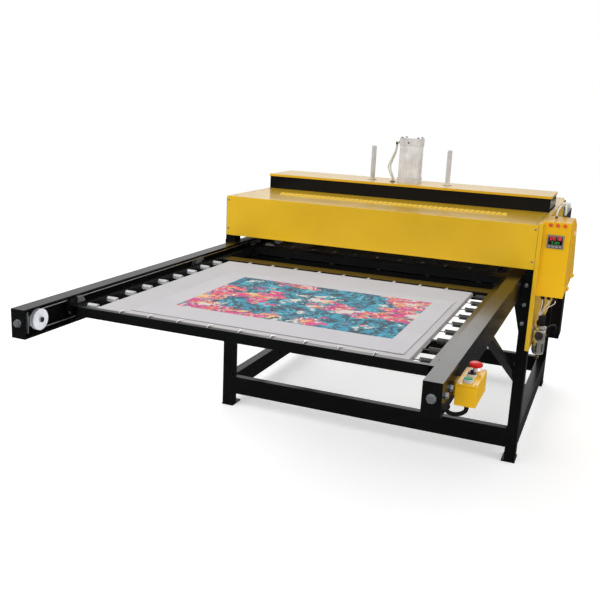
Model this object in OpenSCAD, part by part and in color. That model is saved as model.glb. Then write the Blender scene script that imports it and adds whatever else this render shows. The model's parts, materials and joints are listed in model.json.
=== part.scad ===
// Large-format pneumatic heat press with a two-table shuttle.
// Origin: centre of the press on the floor. +Y runs along the rails to the rear, +Z is up.
// The shuttle is drawn at its front stop: front table out for loading, rear table in the press.

/* [Rails and shuttle] */
// Outer distance across the two rails
rail_span = 1436; // [1420:2:1436]
// Length of each rail
rail_len = 4480; // [4480:10:4700]
// Height of a rail's channel section
rail_h = 100; // [98:1:102]
// Width of a rail's flanges
rail_flange = 55; // [54:1:58]
// Wall of a rail's channel section
rail_t = 6; // [5:0.5:6]
// Height of the rails' top face above the floor
rail_top = 905; // [905:1:915]
// Travel of the shuttle from the front stop to the rear stop
shuttle_travel = 1495; // [1480:5:1495]

/* [Tables] */
// Width of a table's pad, across the rails
pad_w = 1130; // [1100:10:1140]
// Length of a table's pad, along the rails
pad_l = 1000; // [980:10:1000]
// Thickness of the soft pad
pad_t = 12; // [8:1:12]
// Thickness of the plate under the pad
pad_plate_t = 4; // [3:1:5]
// Number of springs along each edge of a pad
edge_springs = 9; // [7:1:9]

/* [Press] */
// Width of the heated platen
platen_w = 1000; // [900:10:1000]
// Depth of the heated platen
platen_l = 800; // [700:10:800]
// Thickness of the heated platen
platen_t = 40; // [30:1:40]
// Height of the platen's underside above the pad when the press is open
daylight = 71; // [71:1:80]

/* [Housing] */
// Width of the front cover
housing_w = 1522; // [1520:2:1530]
// Depth of the housing from front to rear
housing_l = 1310; // [1300:10:1330]
// Height of the housing's lower edge
housing_z = 932; // [925:1:935]
// Height of the housing's top face
housing_top = 1130; // [1128:1:1135]
// Number of louvres in each cover
louvres = 46; // [20:1:46]

/* [Hidden] */
$fn = 40;

// rails
rail_out = rail_span / 2;
rail_in = rail_out - rail_flange;
rail_bot = rail_top - rail_h;
rail_end = rail_len / 2;
track_z = rail_bot + rail_t;
drive_z = rail_bot + 53;
drive_y = rail_end - 75;
pulley_r = 36.5;
cable_path_r = 33;
cable_r = 2.5;

// shuttle
beam_h = 35;
table_top = rail_top - 31;
member_x = rail_in - 8;
member_w = 30;
front_y = -shuttle_travel;
pad_z = table_top - pad_t;
plate_z = pad_z - pad_plate_t;
outer_bar = 20;
inner_beam = 80;
edge_gap = 2;
outer_edge = pad_l / 2 + edge_gap + outer_bar;
inner_edge = pad_l / 2 + 22 + inner_beam;
wheel_r = 40;
wheel_z = track_z + 0.5 + wheel_r;
wheel_ys = [front_y - 440, front_y + 440, -440, 440];

// frame
leg_in = rail_out + 6;
leg_out = leg_in + 50;
leg_d = 64;
leg_y = 633;
foot_t = 8;
foot_l = 94;
anchor_x = leg_in + 25;
anchor_y = leg_y - 78;
anchor_r = 7;
base_z = 72;
base_h = 94;
base_d = 40;
brace_w = 40;
brace_t = 20;
brace_rise = 0.457;
brace_z = 163;
bed_top = table_top - 42;

// press
platen_z = table_top + daylight;
board_t = 25;
platen_frame_h = 40;
platen_frame_z = platen_z + platen_t + board_t;
head_z = platen_frame_z + platen_frame_h + 10;
head_top = 1196;
head_l = 300;
head_w = housing_w - 10;
post_x = 208;
post_r = 12.5;
post_top = 1391;
run_gap = 0.05;
lid_top = head_top + 12;
cap_s = 110;
cap_h = 40;
cylinder_top = 1443;
bore_r = 50;

// outer panels and boxes
sheet = 2;
seam = 0.02;
panel_in = housing_w / 2 + 1;
panel_out = panel_in + 18;
panel_bot = 560;
panel_back = 455;
panel_top = housing_top + 10;
cab_x = panel_out;
cab_w = 115;
cab_y = -639;
cab_back = -60;
cab_z = 816;
cab_h = 332;
cab_top = cab_z + cab_h;
door_y = cab_y + 174;
door_z = cab_z + 11.5;
hinge_x = cab_x + cab_w + 6;
hinge_z = cab_z + 5;
hinge_ys = [door_y + 5, cab_back - 62];
gland_x = cab_x + 90;
gland_y = cab_y + 169;
lock_y = cab_y + 287;
lock_z = cab_z + 252;
box_x = rail_out + 13;
box_w = 59;
box_y = -2134;
box_l = 158;
box_z = 812;
box_top = 875;
button_x = box_x + 29;
start_y = box_y + 24;
selector_y = start_y + 55;
estop_y = selector_y + 55;
stem_r = 6;
cap_r = 12.2;
conduit_from = [box_x + 31, box_y + 30];
conduit_to = [rail_out - 7, box_y + 4];
unit_x = panel_out + 32;
unit_y = -565;
valve_x = cab_x + 49;
valve_y = -240;
elbow_y = 300;
elbow_z = cab_top - 20;

// Box from its limits along X, Y and Z
module block(x, y, z) {
    translate([x[0], y[0], z[0]])
        cube([x[1] - x[0], y[1] - y[0], z[1] - z[0]]);
}

// Rectangular tubes along each axis, from their outer limits and wall
module tube_x(x, y, z, wall = 3) {
    difference() {
        block(x, y, z);
        block([x[0] - 1, x[1] + 1], [y[0] + wall, y[1] - wall], [z[0] + wall, z[1] - wall]);
    }
}

module tube_y(x, y, z, wall = 3) {
    difference() {
        block(x, y, z);
        block([x[0] + wall, x[1] - wall], [y[0] - 1, y[1] + 1], [z[0] + wall, z[1] - wall]);
    }
}

module tube_z(x, y, z, wall = 3) {
    difference() {
        block(x, y, z);
        block([x[0] + wall, x[1] - wall], [y[0] + wall, y[1] - wall], [z[0] - 1, z[1] + 1]);
    }
}

// Cylinders along X and Y, starting at a point
module rod_x(p, r, h) {
    translate(p) rotate([0, 90, 0]) cylinder(r = r, h = h);
}

module rod_y(p, r, h) {
    translate(p) rotate([-90, 0, 0]) cylinder(r = r, h = h);
}

module rod_z(p, r, h) {
    translate(p) cylinder(r = r, h = h);
}

// The children and their mirror image across the centre plane of the named axis
module both_x() {
    children();
    mirror([1, 0, 0]) children();
}

module both_y() {
    children();
    mirror([0, 1, 0]) children();
}

// Smooth curve through the given points, and a tube swept along it
function spline(a, b, c, d, t) = 0.5 * (2 * b + (c - a) * t + (2 * a - 5 * b + 4 * c - d) * t * t
    + (3 * b - a - 3 * c + d) * t * t * t);
function curve(p, steps) = [for (i = [0 : len(p) - 2]) for (s = [0 : steps - 1])
    spline(p[max(i - 1, 0)], p[i], p[i + 1], p[min(i + 2, len(p) - 1)], s / steps), p[len(p) - 1]];
function unit(v) = v / norm(v);
function ring(c, t, up, r, sides) = let(n = unit(cross(t, up)), b = cross(n, t))
    [for (k = [0 : sides - 1]) c + r * (cos(360 * k / sides) * n + sin(360 * k / sides) * b)];

module hose(points, r, up = [0, 1, 0], steps = 4, sides = 8) {
    c = curve(points, steps);
    last = len(c) - 1;
    tip = len(points) - 1;
    rings = [for (i = [0 : last])
        ring(c[i], unit(i == 0 ? points[1] - points[0] : i == last ? points[tip] - points[tip - 1]
            : c[i + 1] - c[i - 1]), up, r, sides)];
    faces = [for (i = [0 : last - 1]) for (k = [0 : sides - 1])
        [i * sides + k, i * sides + (k + 1) % sides,
         (i + 1) * sides + (k + 1) % sides, (i + 1) * sides + k]];
    polyhedron([for (q = rings) for (p = q) p],
        concat([[for (k = [sides - 1 : -1 : 0]) k]], faces,
               [[for (k = [0 : sides - 1]) last * sides + k]]));
}

// ---- Frame ----

module uprights() {
    color("#151515") both_x() both_y() {
        tube_z([leg_in, leg_out], [-leg_y, -leg_y + leg_d], [foot_t, housing_top - 10]);
        difference() {
            block([leg_in - 12, leg_out + 2], [-leg_y - 2, -leg_y - 2 + foot_l], [0, foot_t]);
            rod_z([anchor_x, -anchor_y, -1], anchor_r, foot_t + 2);
        }
    }
}

module frame_beams() {
    leg_back = leg_y - leg_d;
    color("#151515") {
        both_y() tube_x([-leg_in, leg_in], [-leg_y, -leg_y + base_d], [base_z, base_z + base_h]);
        both_x() {
            tube_y([leg_in, leg_out], [-leg_back, leg_back], [base_z, base_z + base_h]);
            tube_y([leg_in, leg_out], [-leg_back, leg_back], [rail_bot - 160, rail_bot - 80]);
            tube_y([leg_in, leg_out], [-leg_back, leg_back], [head_z - 80, head_z]);
        }
    }
}

// C section open towards the centre, closed by a plate at each end
module rail(side) {
    color("#1a1a1a") mirror([side < 0 ? 1 : 0, 0, 0]) difference() {
        block([rail_in, rail_out], [-rail_end, rail_end], [rail_bot, rail_top]);
        block([rail_in - 1, rail_out - rail_t], [-rail_end + rail_t, rail_end - rail_t],
              [track_z, rail_top - rail_t]);
        rod_y([rail_out - 28, -rail_end - 1, drive_z], 6.5, rail_t + 2);
        for (y = [-drive_y - 32, -drive_y + 32])
            rod_x([rail_out - rail_t - 1, y, drive_z], 6.5, rail_t + 2);
    }
}

module rail_left() rail(-1);
module rail_right() rail(1);

// Bracket plate and spacers at each upright, and the diagonal brace under each rail's arm
module rail_supports() {
    plate_t = 6;
    low = rail_bot - 165;
    color("#151515") {
        both_x() both_y() {
            translate([0, -leg_y, 0]) rotate([90, 0, 0]) linear_extrude(plate_t) polygon([
                [leg_in, low], [leg_out, low], [leg_out, rail_top], [rail_out, rail_top],
                [rail_out, rail_bot], [rail_out - 28, rail_bot], [rail_out - 28, rail_bot - 30]]);
            block([rail_out, leg_in], [-leg_y, -leg_y + leg_d], [rail_bot, rail_top]);
            block([rail_out, leg_in], [-leg_y, -leg_y + leg_d],
                  [brace_at(-leg_y + leg_d) - 6, brace_at(-leg_y) + brace_t + 6]);
        }
        both_x() {
            brace(60);
            mirror([0, 1, 0]) brace(-leg_y + leg_d / 2);
            block([rail_out, leg_in], [5, 55], [base_z + 40, base_z + base_h]);
        }
    }
}

// Height of a brace's lower edge at a distance along the rails
function brace_at(y) = brace_z - brace_rise * y;

// Flat tube from the rail's underside down along the inner face of the upright
module brace(end_y) {
    wall = 2.5;
    top_y = (brace_z - rail_bot) / brace_rise;
    translate([rail_out - brace_w, 0, 0]) rotate([90, 0, 90]) difference() {
        linear_extrude(brace_w) polygon([[top_y, rail_bot], [top_y + brace_t / brace_rise, rail_bot],
            [end_y, brace_at(end_y) + brace_t], [end_y, brace_at(end_y)]]);
        translate([0, 0, wall]) linear_extrude(brace_w - 2 * wall) polygon([
            [top_y + 50, brace_at(top_y + 50) + wall],
            [top_y + 50, brace_at(top_y + 50) + brace_t - wall],
            [end_y + 1, brace_at(end_y + 1) + brace_t - wall], [end_y + 1, brace_at(end_y + 1) + wall]]);
    }
}

module bed_beams() {
    color("#1c1c1c") for (y = [-440 : 220 : 440])
        tube_x([-leg_out, leg_out], [y - 30, y + 30], [rail_bot - 80, rail_bot], 4);
}

module bed_plate() {
    color("#34363a") {
        block([-550, 550], [-470, 470], [bed_top - 12, bed_top]);
        for (x = [-500 : 250 : 500])
            block([x - 10, x + 10], [-470, 470], [rail_bot, bed_top - 12]);
    }
}

// ---- Press head ----

// Box beam with closed ends
module crosshead() {
    wall = 8;
    w = head_w / 2;
    l = head_l / 2;
    color("#171717") difference() {
        block([-w, w], [-l, l], [head_z, head_top]);
        block([-w + wall, w - wall], [-l + wall, l - wall], [head_z + wall, head_top - wall]);
        for (x = [-post_x, post_x])
            rod_z([x, 0, head_z - 1], post_r + 6.5, head_top - head_z + 2);
        rod_z([0, 0, head_z - 1], 20, head_top - head_z + 2);
        rod_z([-78, -50, head_top - 9], 10, 10);
    }
}

module top_lid() {
    w = head_w / 2 + 4;
    l = head_l / 2 + 4;
    color("#d2a41c") difference() {
        block([-w, w], [-l, l], [head_top, lid_top]);
        block([-w + sheet, w - sheet], [-l + sheet, l - sheet], [head_top - 1, lid_top - sheet]);
        block([-cap_s / 2 - 1, cap_s / 2 + 1], [-cap_s / 2 - 1, cap_s / 2 + 1],
              [head_top - 1, lid_top + 1]);
        for (x = [-post_x, post_x])
            rod_z([x, 0, head_top - 1], 26, lid_top - head_top + 2);
        rod_z([-78, -50, head_top - 1], 10, lid_top - head_top + 2);
    }
}

// Folded sheet: front wall, louvred top and narrow return flanges
module cover() {
    w = housing_w / 2;
    y0 = -housing_l / 2;
    y1 = -head_l / 2 - 2;
    lip = 20;
    louvre_w = 1148;
    color("#d2a41c") difference() {
        union() {
            block([-w, w], [y0, y0 + sheet], [housing_z, housing_top]);
            block([-w, w], [y0, y1], [housing_top - sheet, housing_top]);
            block([-w, w], [y0, y0 + lip], [housing_z, housing_z + sheet]);
            both_x() block([w - sheet, w], [y0, y0 + lip], [housing_z, housing_top]);
        }
        for (i = [0 : louvres - 1])
            translate([-louvre_w / 2 + i * louvre_w / (louvres - 1), -382, housing_top])
                rotate([0, 0, -35]) cube([5, 28, 3 * sheet], center = true);
    }
}

module front_cover() cover();
module rear_cover() mirror([0, 1, 0]) cover();

// Sheet that carries the cabinet, with flanges folded inwards at the front and the top
module side_panel_right() {
    y0 = -housing_l / 2;
    color("#d2a41c") difference() {
        block([panel_in, panel_out], [y0, panel_back], [panel_bot, panel_top]);
        block([panel_in - 1, panel_out - sheet], [y0 + sheet, panel_back + 1],
              [panel_bot - 1, panel_top - sheet]);
    }
}

// Flat sheet on the left uprights
module side_panel_left() {
    color("#d2a41c") block([-leg_out - sheet, -leg_out], [-leg_y + leg_d + 3, leg_y],
        [housing_z, housing_top - 12]);
}

module hex_head(r, h) {
    cylinder(r = r, h = h, $fn = 6);
}

// Bolt heads with washers on the uprights and rails, and the covers' screw heads
module fasteners() {
    color("#c9c9cc") {
        both_x() both_y() for (z = [rail_bot - 126, rail_bot - 39, rail_bot + 51])
            translate([leg_in + 12, -leg_y - 6, z]) rotate([90, 0, 0]) {
                cylinder(r = 9, h = 1.5);
                translate([0, 0, 1.5]) hex_head(7.5, 5);
            }
        both_x() for (y = [-drive_y - 32, -drive_y + 32])
            translate([rail_out - rail_t - 6, y, drive_z]) rotate([0, 90, 0]) {
                cylinder(r = 5.5, h = rail_t + 6);
                translate([0, 0, rail_t + 6]) cylinder(r = 11, h = 1.5);
                translate([0, 0, rail_t + 7.5]) hex_head(10, 7);
            }
        both_x() both_y() for (z = [housing_z + 35, housing_top - 20])
            translate([housing_w / 2 - 11, -housing_l / 2, z]) rotate([90, 0, 0])
                cylinder(r = 4.5, h = 2);
        both_x() both_y() for (y = [-housing_l / 2 + 60, -housing_l / 2 + 260, -190])
            rod_z([housing_w / 2 - 22, y, housing_top], 4.5, 2);
    }
}

module guide_bushings() {
    color("#b8a06a") for (x = [-post_x, post_x]) translate([x, 0, 0]) difference() {
        union() {
            rod_z([0, 0, head_z], post_r + 6.5, head_top - head_z);
            rod_z([0, 0, head_top], 25, 8);
        }
        rod_z([0, 0, head_z - 1], post_r + run_gap, head_top - head_z + 20);
    }
}

// ---- Air cylinder ----

module square_bar(s, r, h) {
    block([-s / 2 + r, s / 2 - r], [-s / 2, s / 2], [0, h]);
    block([-s / 2, s / 2], [-s / 2 + r, s / 2 - r], [0, h]);
    for (x = [-1, 1]) for (y = [-1, 1])
        rod_z([x * (s / 2 - r), y * (s / 2 - r), 0], r, h);
}

module cylinder_barrel() {
    z0 = head_top + cap_h;
    h = cylinder_top - cap_h - z0;
    color("#c8cacc") translate([0, 0, z0]) difference() {
        square_bar(cap_s - 3, 12, h);
        rod_z([0, 0, -1], bore_r, h + 2);
        for (a = [0 : 90 : 270]) rotate([0, 0, a]) for (x = [-20, 20])
            block([x - 3, x + 3], [cap_s / 2 - 3, cap_s / 2], [-1, h + 1]);
    }
}

// End caps with the rod bore, corner screws, port fittings and the lid's hose grommet
module cylinder_caps() {
    color("#b9bcc0") {
        difference() {
            translate([0, 0, head_top]) square_bar(cap_s, 5, cap_h);
            rod_z([0, 0, head_top - 1], post_r + run_gap, cap_h + 2);
        }
        difference() {
            translate([0, 0, cylinder_top - cap_h]) square_bar(cap_s, 5, cap_h);
            rod_y([-4, -cap_s / 2 - 1, cylinder_top - 24], 3.5, 7);
        }
        for (x = [-1, 1]) for (y = [-1, 1])
            rod_z([x * 43, y * 43, cylinder_top], 6, 4);
        for (y = [-44, -34]) {
            rod_x([-cap_s / 2 - 12, y, cylinder_top - 24], 4.8, 12);
            rod_z([-cap_s / 2 - 16, y, cylinder_top - 38], 4.8, 19);
        }
        difference() {
            union() {
                rod_z([-78, -50, lid_top], 13, 3);
                rod_z([-78, -50, head_top], 9.8, lid_top - head_top);
            }
            rod_z([-78, -50, head_top - 1], 8.6, 20);
        }
    }
}

// Two air hoses from the top cap's fittings, bowed out and down through the lid's grommet
module cylinder_hoses() {
    z1 = cylinder_top - 38;
    color("#dfe3da") {
        hose([[-71, -44, z1], [-71, -44, z1 - 8], [-78, -45, z1 - 38], [-95, -48, 1325],
              [-107, -50, 1290], [-97, -50, 1258], [-82.5, -50, 1230], [-82.5, -50, 1216],
              [-82.5, -50, 1170]], 3.8);
        hose([[-71, -34, z1], [-71, -34, z1 - 8], [-76, -36, z1 - 42], [-88, -42, 1325],
              [-97, -45, 1290], [-87, -49, 1258], [-73.5, -50, 1230], [-73.5, -50, 1216],
              [-73.5, -50, 1170]], 3.8);
    }
}

// ---- Control cabinet ----

// Side outline of the cabinet, drawn in by a margin: level floor, short back and slanted rear top
function cab_side(y0, z0, margin) = [[y0, z0], [cab_back - margin, z0],
    [cab_back - margin, cab_z + 34 - 0.37 * margin],
    [cab_y + 364 - 0.57 * margin, cab_z + 287 - 0.88 * margin],
    [cab_y + 209 - 0.14 * margin, cab_top - margin], [y0, cab_top - margin]];

module cab_slab(x, w, outline) {
    translate([x, 0, 0]) rotate([90, 0, 90]) linear_extrude(w) polygon(outline);
}

// One plate of sheet for each edge of an outline, mitred at an inner outline with a fine weld seam
module cab_strips(x, w, outer, inner, edges) {
    for (i = edges) let(j = (i + 1) % len(outer), e = seam * unit(outer[j] - outer[i]))
        cab_slab(x + seam, w - 2 * seam, [outer[i] + e, outer[j] - e, inner[j] - e, inner[i] + e]);
}

// Welded box: left plate, floor, back, roof and front, and the frame round the door opening
module cabinet_shell() {
    x1 = cab_x + cab_w;
    front = 5;
    outer = cab_side(cab_y, cab_z, 0);
    inner = cab_side(cab_y + sheet, cab_z + sheet, sheet);
    opening = cab_side(door_y + 20, cab_z + 24, 22);
    color("#d2a41c") {
        cab_slab(cab_x, sheet, outer);
        cab_strips(x1 - sheet, sheet, outer, opening, [0 : front]);
        cab_strips(cab_x + sheet, cab_w - 2 * sheet, outer, inner, [1 : front - 1]);
        difference() {
            cab_strips(cab_x + sheet, cab_w - 2 * sheet, outer, inner, [0]);
            rod_z([gland_x, gland_y, cab_z - 1], 10.3, 4);
        }
        difference() {
            cab_strips(cab_x + sheet, cab_w - 2 * sheet, outer, inner, [front]);
            block([cab_x + 24, cab_x + 88], [cab_y - 1, cab_y + 3], [cab_z + 222, cab_z + 272]);
            for (i = [0 : 2])
                rod_y([cab_x + 29 + 30 * i, cab_y - 1, cab_z + 318], 5, 4);
        }
        for (y = hinge_ys) {
            block([x1 - 16, hinge_x], [y, y + 25], [hinge_z - 7, hinge_z - 5 - seam]);
            difference() {
                rod_y([hinge_x, y, hinge_z], 5, 25);
                block([hinge_x - 6, hinge_x - 4.6], [y - 1, y + 26], [hinge_z - 6, hinge_z + 6]);
            }
            rod_y([hinge_x, y + 25, hinge_z], 2, 25);
        }
    }
}

module cabinet_door() {
    x0 = cab_x + cab_w + 0.5;
    color("#d2a41c") {
        difference() {
            cab_slab(x0, sheet, cab_side(door_y, door_z, 2));
            rod_x([x0 - 1, lock_y, lock_z], 9.05, sheet + 2);
        }
        for (y = hinge_ys) difference() {
            union() {
                rod_y([hinge_x, y + 25.3, hinge_z], 5, 24.7);
                block([x0, x0 + sheet], [y + 25.3, y + 50], [hinge_z, door_z + 0.5]);
            }
            rod_y([hinge_x, y + 24, hinge_z], 2.05, 28);
        }
    }
}

// Quarter-turn lock, drawn unlocked: barrel, rim, key slot, and the cam that turns up behind the shell
module door_lock() {
    x0 = cab_x + cab_w + 0.5;
    color("#c9c9cc") difference() {
        union() {
            rod_x([x0 - 7, lock_y, lock_z], 9, 7 + sheet + 0.3);
            rod_x([x0 + sheet + 0.3, lock_y, lock_z], 12, 4);
            block([x0 - 7, x0 - 4], [lock_y - 7, lock_y + 46], [lock_z - 7, lock_z + 7]);
        }
        block([x0 + sheet + 2, x0 + sheet + 6], [lock_y - 1.2, lock_y + 1.2],
              [lock_z - 6, lock_z + 6]);
    }
}

// Contactors, relay and terminal strip on a rail behind the cabinet's front, and the mains gland
module cabinet_electrics() {
    x0 = cab_x + sheet;
    color("#3a3d42") {
        block([x0, x0 + 8], [cab_y + 40, cab_y + 260], [cab_z + 120, cab_z + 155]);
        for (i = [0 : 2])
            block([x0 + 8, x0 + 78], [cab_y + 100 + i * 52, cab_y + 145 + i * 52],
                  [cab_z + 98, cab_z + 178]);
        block([x0, x0 + 30], [cab_y + 50, cab_y + 250], [cab_z + 30, cab_z + 60]);
        difference() {
            union() {
                rod_z([gland_x, gland_y, cab_z - 22], 12, 22);
                rod_z([gland_x, gland_y, cab_z - 22], 10, 30);
                rod_z([gland_x, gland_y, cab_z + sheet], 12, 6);
            }
            rod_z([gland_x, gland_y, cab_z - 23], 6, 40);
        }
    }
}

module pilot_lamps() {
    color("#c8201c") for (i = [0 : 2]) translate([cab_x + 29 + 30 * i, cab_y, cab_z + 318])
        rotate([90, 0, 0]) {
            cylinder(r = 8, h = 2);
            translate([0, 0, 2]) cylinder(r1 = 6.5, r2 = 4.5, h = 6);
            translate([0, 0, -22]) cylinder(r = 4.8, h = 22);
        }
}

module temperature_controller() {
    color("#4b4d50") difference() {
        union() {
            block([cab_x + 21, cab_x + 91], [cab_y - 6, cab_y], [cab_z + 218, cab_z + 276]);
            block([cab_x + 25, cab_x + 87], [cab_y, cab_y + 80], [cab_z + 223, cab_z + 271]);
        }
        block([cab_x + 25, cab_x + 87], [cab_y - 7, cab_y - 4.5], [cab_z + 234, cab_z + 272]);
    }
}

// ---- Button box ----

module button_box() {
    color("#d2a41c") difference() {
        union() {
            block([box_x, box_x + box_w], [box_y, box_y + box_l], [box_z, box_top]);
            block([rail_out, box_x], [box_y + 50, box_y + 100], [box_z + 10, box_z + 50]);
        }
        block([box_x + sheet, box_x + box_w - sheet], [box_y + sheet, box_y + box_l - sheet],
              [box_z + sheet, box_top - sheet]);
        for (y = [start_y, selector_y, estop_y])
            rod_z([button_x, y, box_top - 3], 11.3, 4);
        rod_z([conduit_from[0], conduit_from[1], box_z - 1], 7, 4);
    }
}

// Threaded barrels under the panel and the rims on it; two of the rims are deep collars
module button_bezels() {
    rim_r = 14.4;
    color("#d9d9dc") for (b = [[start_y, 11], [selector_y, 9], [estop_y, 4]])
        translate([button_x, b[0], box_top]) difference() {
            union() {
                rod_z([0, 0, -28], 11, 28);
                cylinder(r = rim_r, h = b[1]);
            }
            rod_z([0, 0, -26], stem_r + 0.3, 40);
            if (b[1] > 4) rod_z([0, 0, 3], cap_r + 0.3, 10);
        }
}

module start_button() {
    color("#1f9a4c") {
        rod_z([button_x, start_y, box_top - 14], stem_r, 22);
        rod_z([button_x, start_y, box_top + 7.5], cap_r, 6);
    }
}

module selector_knob() {
    color("#1b1b1b") {
        rod_z([button_x, selector_y, box_top - 14], stem_r, 19);
        rod_z([button_x, selector_y, box_top + 4.3], cap_r, 8);
        block([button_x - 4, button_x + 4], [selector_y - 10, selector_y + 10],
              [box_top + 12, box_top + 23]);
    }
}

module estop_plunger() {
    color("#b0b0b4") rod_z([button_x, estop_y, box_top - 18], stem_r, 30);
}

// Mushroom head on the plunger
module estop_head() {
    color("#c4161c") translate([button_x, estop_y, box_top + 12]) rotate_extrude() polygon(
        concat([[0, 0], [10, 0]], [for (a = [-20 : 15 : 90]) [20 * cos(a), 7 + 8 * sin(a)]]));
}

// Flexible conduit from the box's underside, looped back up into the rail
module conduit() {
    mid = (conduit_from + conduit_to) / 2;
    half = (conduit_to - conduit_from) / 2;
    bend_z = box_z - 16;
    depth = 17;
    color("#1a1a1a") hose(concat(
        [[conduit_from[0], conduit_from[1], box_z + 1], [conduit_from[0], conduit_from[1], bend_z + 8]],
        [for (a = [0 : 30 : 180]) [mid[0] - half[0] * cos(a), mid[1] - half[1] * cos(a),
            bend_z - depth * sin(a)]],
        [[conduit_to[0], conduit_to[1], bend_z + 4], [conduit_to[0], conduit_to[1], rail_bot]]),
        6.5, [half[1], -half[0], 0]);
}

// ---- Air treatment ----

// Filter and regulator, and the double elbow on the side panel
module air_unit() {
    color("#a9adb2") {
        translate([unit_x, unit_y, 0]) difference() {
            union() {
                rod_z([0, 0, 655], 15, 20);
                rod_z([0, 0, 645], 28, 14);
                block([-26, 26], [-26, 26], [596, 645]);
                rod_z([0, 0, 590], 27, 6);
                rod_z([0, 0, 535], 26, 55);
                rod_z([0, 0, 527], 20, 8);
                rod_z([0, 0, 505], 8, 22);
                rod_y([0, -38, 622], 19, 12);
                block([-32, -26], [-20, 20], [600, 660]);
                rod_y([0, 26, 620], 9, 14);
            }
            rod_z([0, 0, 504], 4.1, 18);
        }
        rod_x([panel_out, elbow_y, elbow_z], 12, 44);
        for (x = [panel_out + 16, panel_out + 32])
            rod_y([x, elbow_y - 24, elbow_z], 5.5, 24);
    }
}

module regulator_knob() {
    color("#1a1a1a") difference() {
        rod_z([unit_x, unit_y, 665], 19, 50);
        rod_z([unit_x, unit_y, 664], 15.5, 12);
    }
}

// Closed box with the solenoid valve, hung under the cabinet
module valve_box() {
    x1 = valve_x + 48;
    y1 = valve_y + 140;
    bottom = 524;
    color("#181818") {
        difference() {
            block([valve_x, x1], [valve_y, y1], [bottom, cab_z]);
            block([valve_x + sheet, x1 - sheet], [valve_y + sheet, y1 - sheet],
                  [bottom + sheet, cab_z - sheet]);
        }
        block([valve_x + sheet, valve_x + 34], [valve_y + 30, valve_y + 110], [600, 680]);
    }
}

// Supply hose to the valve box, and the two tubes from the cabinet's top to the elbow
module air_tubes() {
    color("#2a2a2a") hose([[unit_x, unit_y + 40, 620], [unit_x, unit_y + 50, 620],
        [unit_x + 1, unit_y + 61, 620], [unit_x + 18, unit_y + 110, 628], [unit_x + 42, unit_y + 160, 632],
        [unit_x + 54, unit_y + 215, 612], [unit_x + 52, unit_y + 265, 578],
        [unit_x + 43, unit_y + 300, 557], [unit_x + 40, unit_y + 313, 555], [unit_x + 40, valve_y, 555]],
        5.5, [0, 0, 1]);
    color("#e4e6df") {
        hose([[cab_x + 40, cab_y + 119, cab_top], [cab_x + 40, cab_y + 119, cab_top + 10],
            [cab_x + 40, cab_y + 122, cab_top + 21], [cab_x + 42, cab_y + 144, cab_top + 36],
            [cab_x + 46, cab_y + 209, cab_top + 46],
            [cab_x + 46, cab_y + 339, cab_top + 40], [cab_x + 40, cab_y + 589, cab_top + 18],
            [cab_x + 22, elbow_y - 100, cab_top - 10], [cab_x + 16, elbow_y - 50, elbow_z],
            [cab_x + 16, elbow_y - 37, elbow_z], [cab_x + 16, elbow_y - 24, elbow_z]],
            3.8, [1, 0, 0.05]);
        hose([[cab_x + 72, cab_y + 189, cab_top], [cab_x + 72, cab_y + 189, cab_top + 10],
            [cab_x + 72, cab_y + 192, cab_top + 21], [cab_x + 71, cab_y + 211, cab_top + 36],
            [cab_x + 66, cab_y + 269, cab_top + 48],
            [cab_x + 62, cab_y + 379, cab_top + 38], [cab_x + 56, cab_y + 589, cab_top + 18],
            [cab_x + 40, elbow_y - 100, cab_top - 10], [cab_x + 32, elbow_y - 50, elbow_z],
            [cab_x + 32, elbow_y - 37, elbow_z], [cab_x + 32, elbow_y - 24, elbow_z]],
            3.8, [1, 0, 0.05]);
    }
}

// ---- Drive ----

// Bracket, axle and tension bolt that hold an idler pulley in the front of each rail
module cable_tensioners() {
    color("#b5b8bb") both_x() {
        block([rail_in + 13.5, rail_in + 17.5], [-drive_y - 42, -drive_y + 42],
              [drive_z - 18, drive_z + 18]);
        difference() {
            block([rail_in + 17.5, rail_out - rail_t], [-drive_y - 42, -drive_y + 42],
                  [drive_z - 15, drive_z + 15]);
            for (y = [-drive_y - 32, -drive_y + 32])
                rod_x([rail_out - rail_t - 7, y, drive_z], 5.6, 8);
        }
        rod_x([rail_in - 6, -drive_y, drive_z], 6, 20);
        rod_x([rail_in - 9, -drive_y, drive_z], 9, 5);
        block([rail_in + 1, rail_out - rail_t], [-drive_y - 59, -drive_y - 55],
              [drive_z - 36, drive_z + 36]);
        rod_y([rail_out - 28, -rail_end - 2, drive_z], 6, rail_end - drive_y - 40);
        translate([rail_out - 28, -rail_end, drive_z]) rotate([90, 0, 0]) {
            cylinder(r = 14, h = 2);
            translate([0, 0, 2]) hex_head(12, 9);
        }
    }
}

// Grooved pulley with its axis along X
module pulley(bore) {
    rotate([0, 90, 0]) rotate_extrude() difference() {
        translate([bore, 0]) square([pulley_r - bore, 15]);
        translate([cable_path_r + 0.2, 7.5]) circle(r = cable_r + 0.4);
        translate([cable_path_r, 7.5 - cable_r - 0.4]) square([10, 2 * cable_r + 0.8]);
    }
}

module idler_pulleys() {
    color("#c9cbce") {
        translate([rail_in - 3, -drive_y, drive_z]) pulley(6 + run_gap);
        mirror([1, 0, 0]) translate([rail_in - 3, -drive_y, drive_z]) pulley(6 + run_gap);
    }
}

module drive_shaft() {
    color("#a0a3a6") {
        rod_x([-rail_out + rail_t + 1, drive_y, drive_z], 10, 2 * (rail_out - rail_t - 1));
        both_x() translate([rail_in - 3, drive_y, drive_z]) pulley(9.9);
    }
}

module shaft_bearings() {
    color("#5a5d60") both_x() difference() {
        block([rail_out - rail_t - 16, rail_out - rail_t], [drive_y - 24, drive_y + 24],
              [drive_z - 24, drive_z + 24]);
        rod_x([rail_out - rail_t - 17, drive_y, drive_z], 10 + run_gap, 18);
    }
}

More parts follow.
